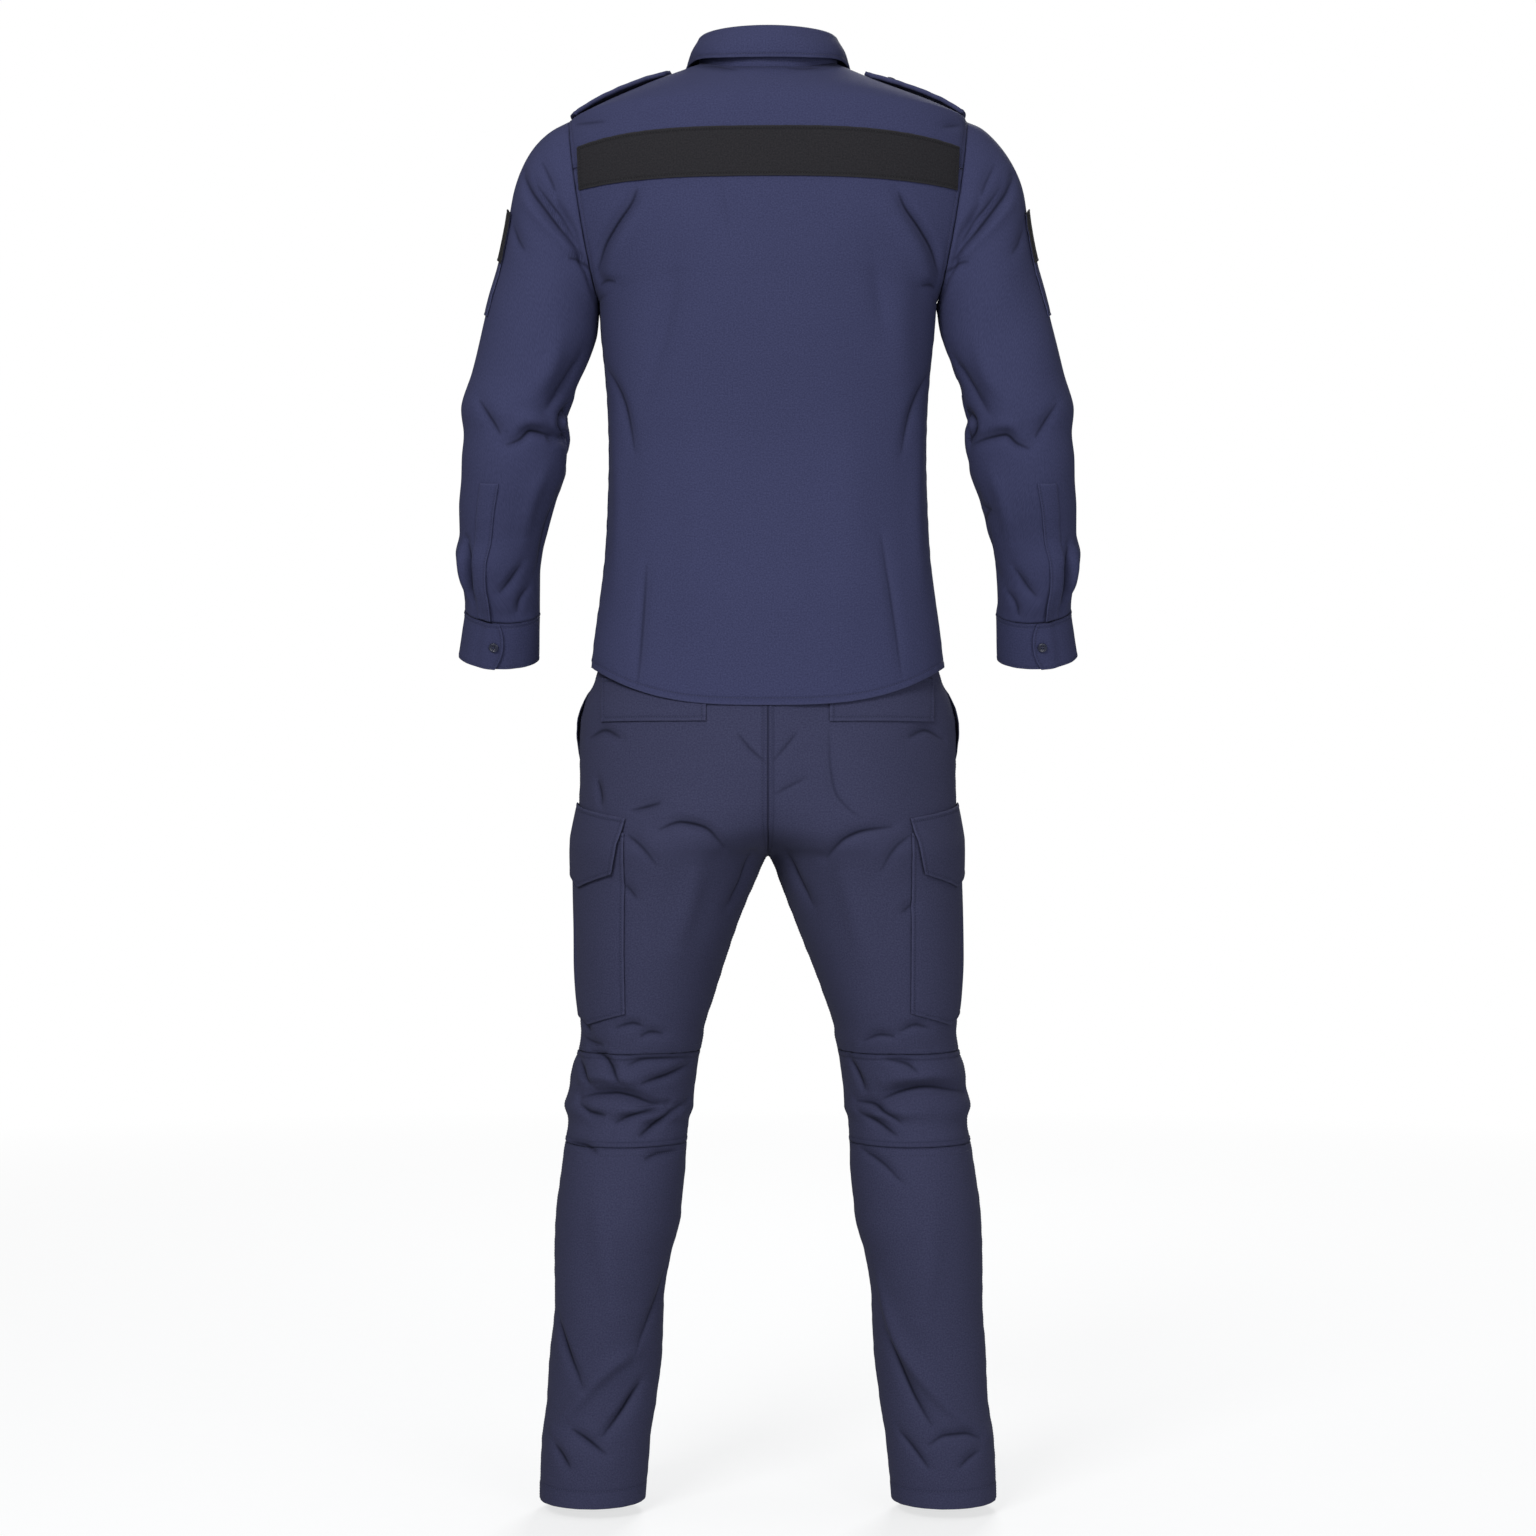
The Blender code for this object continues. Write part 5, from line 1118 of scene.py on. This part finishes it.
def foldWays(turn):  # the fold's level way out and its way up
    along = foldPlace(turn + 0.5) - foldPlace(turn - 0.5)
    flat = unit(np.cross(np.array([0.0, 0, 1]), along))
    return flat, unit(np.cross(along, flat))


def between(rows, u):  # smooth curve through rows, each a third of its neighbours' chord
    k = np.clip(np.floor(u).astype(int), 0, len(rows) - 2)
    t = (u - k)[..., None]
    stack = np.stack(rows)
    index = np.indices(u.shape)
    a, b, c, d = (stack[(np.clip(k + step, 0, len(rows) - 1), *index)] for step in (-1, 0, 1, 2))
    return b + t * ((c - a) / 2 + t * (a - 2.5 * b + 2 * c - d / 2 + t * (1.5 * (b - c) + (d - a) / 2)))


# Fall: over the fold in three rows, then in a slight bow to its lower edge
def fallPlace(u, turn):
    values = collarValues
    flat, up = foldWays(turn)
    fold = foldPlace(turn)
    edge = np.stack([through(collarEdge["turn"], collarEdge[axis], np.abs(turn)) for axis in "xyz"], axis=-1)
    edge[..., 0] *= np.sign(turn)
    thick = values["cloth"] + .0007
    rows = [fold - flat * .0012 + up * thick, fold + flat * values["out"] + up * thick,
            fold + flat * values["turnOut"] - up * values["turnDown"]]
    for share in (.4, .75, 1):
        rows.append(rows[2] + (edge - rows[2]) * share + flat * values["bow"] * math.sin(math.pi * share))
    points = between(rows, u)
    return points + flat * looseness(points, .0005, .06, 41)[..., None]


def standPlace(u, turn):  # straight from the fold to the neck seam, and then down inside the shirt
    around = (turn + 180) % 360 - 180
    top, bottom = foldPlace(around), neckPlace(around)
    flat, _ = foldWays(around)
    lap = .0031 * easedStep(turn, 164, 175) - collarValues["inside"] * easedStep(u, .90, 1.0)
    down = np.array([0, 0, -1.0]) * (collarValues["skirt"] * np.clip(u - 1, 0, None))[..., None]
    return top + (bottom - top) * np.clip(u, 0, 1)[..., None] + down + flat * lap[..., None]


turns = stations(lambda t: fallPlace(0 * t + 4, t), -166, 166, [.0042], [.0042], finest * 0.9)
rows = stations(lambda t: fallPlace(t, 0 * t + 30), 0, 5, [], [.0042], finest * 0.7)
fall = woven(fallPlace, rows, turns, {"start": None, "end": .0042, "left": .0042, "right": .0042}, facing=-1, seed=5.1)
tailored("collarFall", fall, ["collar_fall"], poplin, collarValues["wall"])
sewEdges("Shirt", fall, edgesAt(collarValues["row"], "end left right"), trim=.003)
turns = stations(lambda t: standPlace(0 * t + .5, t), -180, 188, [], [], finest * 0.9)
rows = np.array([0, .1, .25, .4, .55, .7, .8, .86, .9, .93, .96, 1.0, 1.3, 1.7, 2.0])
out = foldWays((np.meshgrid(rows, turns, indexing="ij")[1] + 180) % 360 - 180)[0]
stand = woven(standPlace, rows, turns, {"start": None, "end": None, "left": 0, "right": .003}, seed=6.2, out=out)
tailored("collarStand", stand, ["collar_stand"], poplin, collarValues["wall"])
sewLine("Shirt", *stand.at(np.full(900, .86), np.linspace(-178, 186, 900)))
sewEdges("Shirt", yoke, [("end", .0026)])

# Shoulder straps, along the shoulder seam
strapValues = {"levels": (17.05, 20.27), "outer": .025, "inner": .020, "point": .94, "narrowed": .68,
               "lift": .0055, "rise": .0042, "wall": .0046, "start": .004, "row": .003, "button": 19.544}


def strapPlace(side):
    def place(down, across):
        first, last = strapValues["levels"]
        level = first + (last - first) * down
        half = strapValues["outer"] + (strapValues["inner"] - strapValues["outer"]) * down
        tip = np.clip((down - strapValues["point"]) / (1 - strapValues["point"]), 0, 1)
        half = half * (1 - strapValues["narrowed"] * tip)
        away = half * (2 * across - 1)
        points, ways = [], []
        for plain, creased, facing in ((backPlain, backCloth, 1), (frontPlain, frontCloth, -1)):
            run = plain(level, 0 * level + .999) - plain(level, 0 * level + .93)
            share = np.clip(1 - np.abs(away) / (np.linalg.norm(run, axis=-1) / .069), 0, .9999)
            points.append(creased(level, share * side))
            ways.append(wayOut(plain, level, share * side, facing))
        behind = (away >= 0)[..., None]
        seam = level, 0 * level + .999 * side
        middle = unit(wayOut(backPlain, *seam, 1) + wayOut(frontPlain, *seam, -1))
        way = unit(np.where(behind, ways[0], ways[1]) + 2 * middle)
        rise = strapValues["lift"] + strapValues["rise"] * np.sin(np.pi * np.clip(down * 1.1, 0, 1)) ** .7
        return np.where(behind, points[0], points[1]) + way * rise[..., None], way

    return place


straps = {}
start, row, wall = strapValues["start"], strapValues["row"], strapValues["wall"]
for word, side in (("left", 1), ("right", -1)):
    strap = strapPlace(side)
    rows = stations(lambda t: strap(t, 0 * t + .5)[0], 0, 1, [start], [row], finest * .85)
    columns = stations(lambda t: strap(0 * t + .4, t)[0], 0, 1, [row], [row], finest * .85)
    way = strap(*np.meshgrid(rows, columns, indexing="ij"))[1]
    edges = {**allRound(row), "start": start}
    straps[word] = woven(lambda u, v: strap(u, v)[0], rows, columns, edges, seed=7.1 + side, out=way)
    tailored("shoulderStrap" + word.title(), straps[word], ["shoulder_strap_" + word], poplin, wall)
    sewEdges("Shirt", straps[word], [("start", start), ("left", row), ("right", row)], trim=.002)

# Stitching of the shirt's own seams
sewEdges("Shirt", back, [("start", hem), ("left", .0055), ("right", .0055)])
sewEdges("Shirt", yoke, edgesAt(.0055, "left right"))
for word in ("left", "right"):
    sewEdges("Shirt", front[word], [("start", hem)])
print("collar, band, placket and straps made")

# Sleeve pockets, patches and plackets, and the cuffs
armValues = {"pocket": (4.55, 7.4, -62, 24), "patch": (4.5, 5.9, -64, 26), "placket": (13.0, 18.9, 55, 78),
             "wall": .0011, "gape": .0042, "placketRow": .0022, "placketLift": .0018}
cuffValues = {"wall": .0022, "tip": 9, "loose": .0006, "lap": .0031, "rows": (.0022, .0062), "hem": .0026,
              "end": .003, "button": (20, 85)}


def placketSwell(down, across):
    return armValues["gape"] * easedStep(down, .45, .95) * easedStep(across, .35, 1.0) + .0005 * np.sin(np.pi * across)


def cuffPlace(ring, turn):  # round the wrist, its end lifted over its start and cut back in a curve
    turn = turn - cuffValues["tip"] * np.minimum((ring - 20) ** 2, 1) * easedStep(turn, 84, 98)
    points = sleevePlace(ring, turn)
    rise = cuffValues["lap"] * easedStep(turn, 58, 74) + looseness(points, cuffValues["loose"], .07, 51)
    return points + wayOut(sleevePlace, ring, turn) * rise[..., None]


cuffs = {}
placketRow, placketLift = armValues["placketRow"], armValues["placketLift"]
armPieces = (("Pocket", "pocket", .0019, navy, poplin, allRound(.003), .003, "Sleeves", None),
             ("Patch", "patch", .0038, black, blackTwill, allRound(.0028), .0028, "Band", None),
             ("Placket", "placket", placketLift, navy, poplin, {**allRound(0), "right": placketRow}, placketRow,
              "Sleeves", placketSwell))
for word, mirror, seed in (("left", False, 8.0), ("right", True, 9.0)):
    over, wall = sleeves[word]["surface"], armValues["wall"]
    for name, key, lift, slotName, material, widths, row, group, swell in armPieces:
        made = sewnOn("sleeve" + name + word.title(), ["sleeve_%s_%s" % (key, word)], over, sleevePlace, 1,
                      span(*armValues[key]), widths, lift, material, wall, swell, mirror, seed)
        sewEdges(group, made, edgesAt(row, "right") if swell else edgesAt(row), mirror, .002)
    upper, lower = cuffValues["rows"]
    hem, end = cuffValues["hem"], cuffValues["end"]
    rows = stations(lambda t: cuffPlace(t, 0 * t), cuffRing, lastRing, [upper, lower], [hem], finest * .85)
    columns = stations(lambda t: cuffPlace(0 * t + 20, t), -288, 98, [], [end], finest * .85)
    edges = {"start": (upper + lower) / 2, "end": hem, "left": 0, "right": end}
    cuffs[word] = woven(cuffPlace, rows, columns, edges, seed=seed + .5, joined="start")
    tailored("cuff" + word.title(), cuffs[word], ["cuff_" + word], poplin, cuffValues["wall"], mirror=mirror)
    cuffRows = [("start", upper), ("start", lower), ("end", hem), ("right", .0032)]
    sewEdges("Sleeves", cuffs[word], cuffRows, mirror, .002)
print("cuffs and sleeve pockets made")

# Pockets and flaps of the trousers. Side is 1 behind and -1 in front; first and last give how far
# across each end lies, at its top and low edge; tip lifts the top's middle and drops the low's.
flapRows = {
    "seatFlap": {"nodes": "seat_flap_", "first": (1, .183, .183), "last": (1, .0665, .0665), "top": .914,
                 "low": .8655, "tip": 0, "tipAt": .5, "forward": 0, "puff": .0006, "over": 0, "row": .0048},
    "cargoPocket": {"nodes": "cargo_pocket_", "first": (-1, .156, .156), "last": (1, .156, .156), "top": .744,
                    "low": .546, "tip": .015, "tipAt": .72, "forward": .9, "puff": .0034, "over": 0, "row": .0040,
                    "bellows": .0046},
    "cargoFlap": {"nodes": "cargo_flap_", "first": (-1, .154, .167), "last": (1, .154, .167), "top": .760,
                  "low": .700, "tip": .017, "tipAt": .72, "forward": 1.1, "puff": .0008, "over": .0056, "row": .0045},
}
fineRings = np.linspace(0, 29, 2901)
fineHeights = read(legRings, "height", fineRings)


def turnAcross(ring, across, side):  # the turn at which a ring lies a distance across
    outer, radius = read(legRings, "outer", ring), legRadius(ring, side > 0)
    turn = np.degrees(np.arccos(np.clip(1 - (outer - across) / radius, -1, 1)))
    return turn * 180 / fullTurn(ring, side > 0) * side


def flapWhere(values):
    def where(down, across):
        tip = values["tip"] * (1 - np.abs(across * 2 - 1))
        before = np.clip((values["tipAt"] - across) / 0.26, 0, 1) * values["forward"]
        lowTip = values["tip"] * (1 - np.clip((across - values["tipAt"]) / (1 - values["tipAt"]), 0, 1) - before)
        height = values["top"] + tip + (values["low"] - lowTip - values["top"] - tip) * down
        rings = np.interp(-height, -fineHeights, fineRings)
        (side, top, low), (lastSide, lastTop, lastLow) = values["first"], values["last"]
        first = turnAcross(rings, top + (low - top) * down, side)
        last = turnAcross(rings, lastTop + (lastLow - lastTop) * down, lastSide)
        return rings, first + (last - first) * across

    return where


def flapSwell(values):
    def swell(down, across):
        puffed = values["puff"] * np.clip(np.sin(np.pi * down) * np.sin(np.pi * across), 0, 1) ** .5
        if "bellows" in values:  # folded in at the side
            length = easedStep(down, .40, .52) * (1 - easedStep(down, .76, .88))
            puffed = puffed - values["bellows"] * bell((across - .60) / .016) * length
        return puffed + values["over"] * np.clip(down * 2, 0, 1)

    return swell


pocketValues = {"lift": .0023, "wall": .0012, "facing": (2.2, 5.6, -40, -1.5), "sunk": -.0022, "facingWall": .0011}
legRows = {"near": .0022, "far": .0085, "side": .0024, "second": .0066}
for word, mirror, seed in (("left", False, 12.0), ("right", True, 15.0)):
    under, made = trousers[word]["surface"], trousers[word]
    for name, values in flapRows.items():
        flap = sewnOn(name + word.title(), [values["nodes"] + word], under, legPlace, 1, flapWhere(values),
                      allRound(values["row"]), pocketValues["lift"], twill, pocketValues["wall"],
                      flapSwell(values), mirror, seed)
        sewEdges("Trousers", flap, edgesAt(values["row"]), mirror, .003)
    sewnOn("sidePocketFacing" + word.title(), ["side_pocket_facing_" + word], under, legPlace, 1,
           span(*pocketValues["facing"]), allRound(0), pocketValues["sunk"], twill,
           pocketValues["facingWall"], None, mirror, seed)
    near, far, side, hem = legRows["near"], legRows["far"], legRows["side"], legValues["hem"]
    sewEdges("Trousers", made["thigh"], [("end", near), ("end", far), ("left", side), ("right", side)], mirror)
    if word == "left":
        sewEdges("Trousers", made["thigh"], [("right", legRows["second"])], mirror)
    sewEdges("Trousers", made["calf"], [("start", near), ("start", far), ("end", hem), ("left", side)], mirror)
    sewEdges("Trousers", made["knee"], [("left", side)], mirror)
    sewEdges("Trousers", made["front"], [("end", hem)], mirror)


waistValues = {"lap": .0031, "row": .002, "end": .003, "wall": .0022, "button": 184}


def waistPlace(ring, turn):  # turn is 0 in the middle of the back and 90 at the left side
    around = (turn + 180) % 360 - 180
    points = legPlace(ring, 180 - 2 * np.abs(around))
    points = np.where((around < 0)[..., None], mirrored(points), points)
    flat = unit(points * np.array([1.0, 1.0, 0]))
    return points + flat * (waistValues["lap"] * easedStep(turn, 157, 167))[..., None]


row, end = waistValues["row"], waistValues["end"]
rows = stations(lambda t: waistPlace(t, 0 * t + 20), waistTop, waistSeam, [row], [row], finest)
turns = stations(lambda t: waistPlace(0 * t + .5, t), -180, 192, [], [end], finest * 1.3)
waist = woven(waistPlace, rows, turns, {"start": row, "end": row, "left": 0, "right": end}, facing=-1, seed=14)
tailored("trouserWaistband", waist, ["waistband"], twill, waistValues["wall"])
sewEdges("Trousers", waist, [("start", row), ("end", row)])
flyValues = {"first": (-1, .038, .012), "last": (-1, .0012, .0012), "top": .944, "low": .776, "tip": 0, "tipAt": .5,
             "forward": 0, "row": .003}
fly = sewnOn("trouserFly", ["fly"], trousers["left"]["surface"], legPlace, 1, flapWhere(flyValues),
             allRound(flyValues["row"]), pocketValues["lift"], twill, pocketValues["wall"], seed=16)
sewEdges("Trousers", fly, edgesAt(flyValues["row"], "left"))
print("pockets and waist made")

# Buttons with a rim, a dished middle, four holes and crossed thread
buttonValues = {"hole": .00062, "apart": .00115, "deep": .0012, "around": 40, "slot": "button_blue", "thread": .0046,
                "profile": [(.0030, 0), (.0050, .0002), (.0054, .0008), (.0055, .0014), (.0053, .0021),
                            (.0048, .0026), (.0042, .0026), (.0037, .0022), (.0031, .0019)]}


# A profile of radius and height turned round the middle, with the four holes sunk into its top
def buttonShape():
    inner = [(r, .0019) for r in np.linspace(.0027, .0003, 9)]
    profile = np.array(buttonValues["profile"] + inner)
    angle = np.linspace(0, 2 * np.pi, buttonValues["around"], endpoint=False)
    x, y = profile[:, :1] * np.cos(angle), profile[:, :1] * np.sin(angle)
    z = np.repeat(profile[:, 1:], len(angle), axis=1)
    top = np.arange(len(profile))[:, None] >= len(buttonValues["profile"])
    for alongX in (-1, 1):
        for alongY in (-1, 1):
            away = np.hypot(x - alongX * buttonValues["apart"], y - alongY * buttonValues["apart"])
            z = z - np.where(top, buttonValues["deep"] * np.exp(-((away / buttonValues["hole"]) ** 4)), 0)
    return np.concatenate([np.stack([x, y, z], axis=-1).reshape(-1, 3), [[0, 0, 0], [0, 0, .0019]]])


buttonPoints = buttonShape()


def buttonAt(name, node, group, cloth, u, v, mirror=False):
    (place,), (way,) = cloth.at(np.array([float(u)]), np.array([float(v)]), 0.0003)
    if mirror:
        place, way = mirrored(place), mirrored(way)
    across = unit(np.cross(np.array([0, 0, 1.0]), way)[None])[0]
    upward = np.cross(way, across)
    points = place + buttonPoints @ np.stack([across, upward, way])
    count, rings = buttonValues["around"], (len(buttonPoints) - 2) // buttonValues["around"]
    number = np.arange(rings * count).reshape(rings, count)
    after = np.roll(number, -1, axis=1)
    quads = np.stack([number[:-1], after[:-1], after[1:], number[1:]], axis=-1).reshape(-1, 4).tolist()
    under, over = rings * count, rings * count + 1
    fans = [(under, b, a) for a, b in zip(number[0], after[0])]
    fans += [(over, a, b) for a, b in zip(number[-1], after[-1])]
    mesh = bpy.data.meshes.new(name)
    mesh.from_pydata(points - np.array([0, 0, neckHeight]), [], quads + [tuple(map(int, fan)) for fan in fans])
    placed(name, mesh, buttonPlastic, [node])
    for turned, high in ((1, .0020), (-1, .0023)):
        along = unit((across + upward * turned)[None])
        threads(group, (place + way * high)[None], along, way[None], buttonValues["thread"], 1.3)


for number, height in enumerate(placketValues["heights"], 1):
    level = np.interp(height, centreLines["frontHeight"], centreLines["level"])
    down = level / placketValues["top"]
    buttonAt("frontButton%d" % number, "front_button_%d" % number, "Shirt", placket, down, .5)
buttonAt("collarButton", "collar_button", "Shirt", stand, .5, 182)
buttonAt("waistButton", "waist_button", "Trousers", waist, .5, waistValues["button"])
first, last = strapValues["levels"]
for word, mirror in (("left", False), ("right", True)):
    buttonAt("cuffButton" + word.title(), "cuff_button_" + word, "Sleeves", cuffs[word], *cuffValues["button"], mirror)
    down = (strapValues["button"] - first) / (last - first)
    buttonAt("strapButton" + word.title(), "strap_button_" + word, "Shirt", straps[word], down, .5)
for group, slotName, thread in (("Shirt", navy, navyThread), ("Sleeves", navy, navyThread),
                                ("Trousers", trouserNavy, navyThread), ("Band", black, blackThread)):
    stitchMesh(group, thread)
print("buttons and stitching made")

# Floor, light and camera. The air is white to the eye and much weaker as a light, so that the
# cloth keeps its shading; the floor goes over into the same white further out.
stageValues = {"floor": -1.603, "pale": (.90, .905, .91), "eye": (0, 3.6, -.775), "lens": 75.3, "air": .20,
               "backdrop": 1.0, "nearFloor": 1.0, "farFloor": 4.5, "matt": .40, "glow": .71, "bounce": .16,
               "reach": 30.0}
lamps = (("keyLight", (1.3, 2.9, .9), (0, 0, -.9), 1.3, 76),  # where, towards what, its size and its power
         ("fillLight", (-1.6, 3.3, -.7), (0, 0, -1.0), 1.8, 46),
         ("farLight", (-.6, -3.0, 1.6), (0, 0, -.7), 1.2, 88),
         ("topLight", (0, .1, 2.6), (0, 0, -.5), 1.2, 16))


def panelLight(name, place, aim, size, power):
    lamp = bpy.data.lights.new(name, "AREA")
    lamp.shape, lamp.size, lamp.energy = "SQUARE", size, power
    made = bpy.data.objects.new(name, lamp)
    made.location = place
    made.rotation_mode = "QUATERNION"
    made.rotation_quaternion = (Vector(aim) - Vector(place)).to_track_quat("-Z", "Y")
    bpy.context.scene.collection.objects.link(made)


def paleFloor():
    made = Finish("paleFloor")
    solid = made.add("ShaderNodeTexCoord", {}, {}, 3)
    grain = made.noise(solid, 40.0, 2)
    pale, matt = stageValues["pale"], tuple(stageValues["matt"] * c for c in stageValues["pale"])
    away = made.add("ShaderNodeVectorMath", {"operation": "LENGTH"}, {0: solid}, 1)
    near, far = stageValues["nearFloor"], stageValues["farFloor"]
    share = (away - near) * (1 / (far - near))
    glow = made.blend(share, tuple(stageValues["glow"] * c for c in pale), (1.0, 1.0, 1.0))
    seen = made.add("ShaderNodeLightPath", {}, {}, 0)
    glow = made.blend(1 - seen, glow, tuple(stageValues["bounce"] * c for c in pale))
    colour = made.blend(share, made.blend(grain, tuple(c * 0.97 for c in matt), matt), (0.0, 0.0, 0.0))
    made.join(made.shader, {"Base Color": colour, "Roughness": 0.95, "Specular IOR Level": 0.0,
                            "Emission Color": glow, "Emission Strength": 1.0})
    mesh = bpy.data.meshes.new("floor")
    reach = stageValues["reach"]
    corners = [(-reach, -reach, 0), (reach, -reach, 0), (reach, reach, 0), (-reach, reach, 0)]
    mesh.from_pydata(corners, [], [(0, 1, 2, 3)])
    mesh.transform(Matrix.Translation((0, 0, stageValues["floor"])))
    mesh.materials.append(made.material)
    floor = bpy.data.objects.new("floor", mesh)
    bpy.context.scene.collection.objects.link(floor)


def studioAir():
    world = bpy.data.worlds.new("studioAir")
    world.use_nodes = True
    tree = world.node_tree
    air = tree.nodes["Background"]
    air.inputs["Color"].default_value = (1, 1, 1, 1)
    ray = tree.nodes.new("ShaderNodeLightPath")
    strength = tree.nodes.new("ShaderNodeMapRange")
    strength.inputs["To Min"].default_value = stageValues["air"]
    strength.inputs["To Max"].default_value = stageValues["backdrop"]
    tree.links.new(ray.outputs["Is Camera Ray"], strength.inputs["Value"])
    tree.links.new(strength.outputs["Result"], air.inputs["Strength"])
    bpy.context.scene.world = world


def viewer():
    lens = bpy.data.cameras.new("viewer")
    lens.lens, lens.sensor_width, lens.clip_end = stageValues["lens"], 36, 60
    made = bpy.data.objects.new("viewer", lens)
    made.location = stageValues["eye"]
    made.rotation_euler = (math.pi / 2, 0, math.pi)
    bpy.context.scene.collection.objects.link(made)
    bpy.context.scene.camera = made


paleFloor()
studioAir()
viewer()
for lamp in lamps:
    panelLight(*lamp)
bpy.context.scene.view_settings.view_transform = "Standard"
print("stage set")
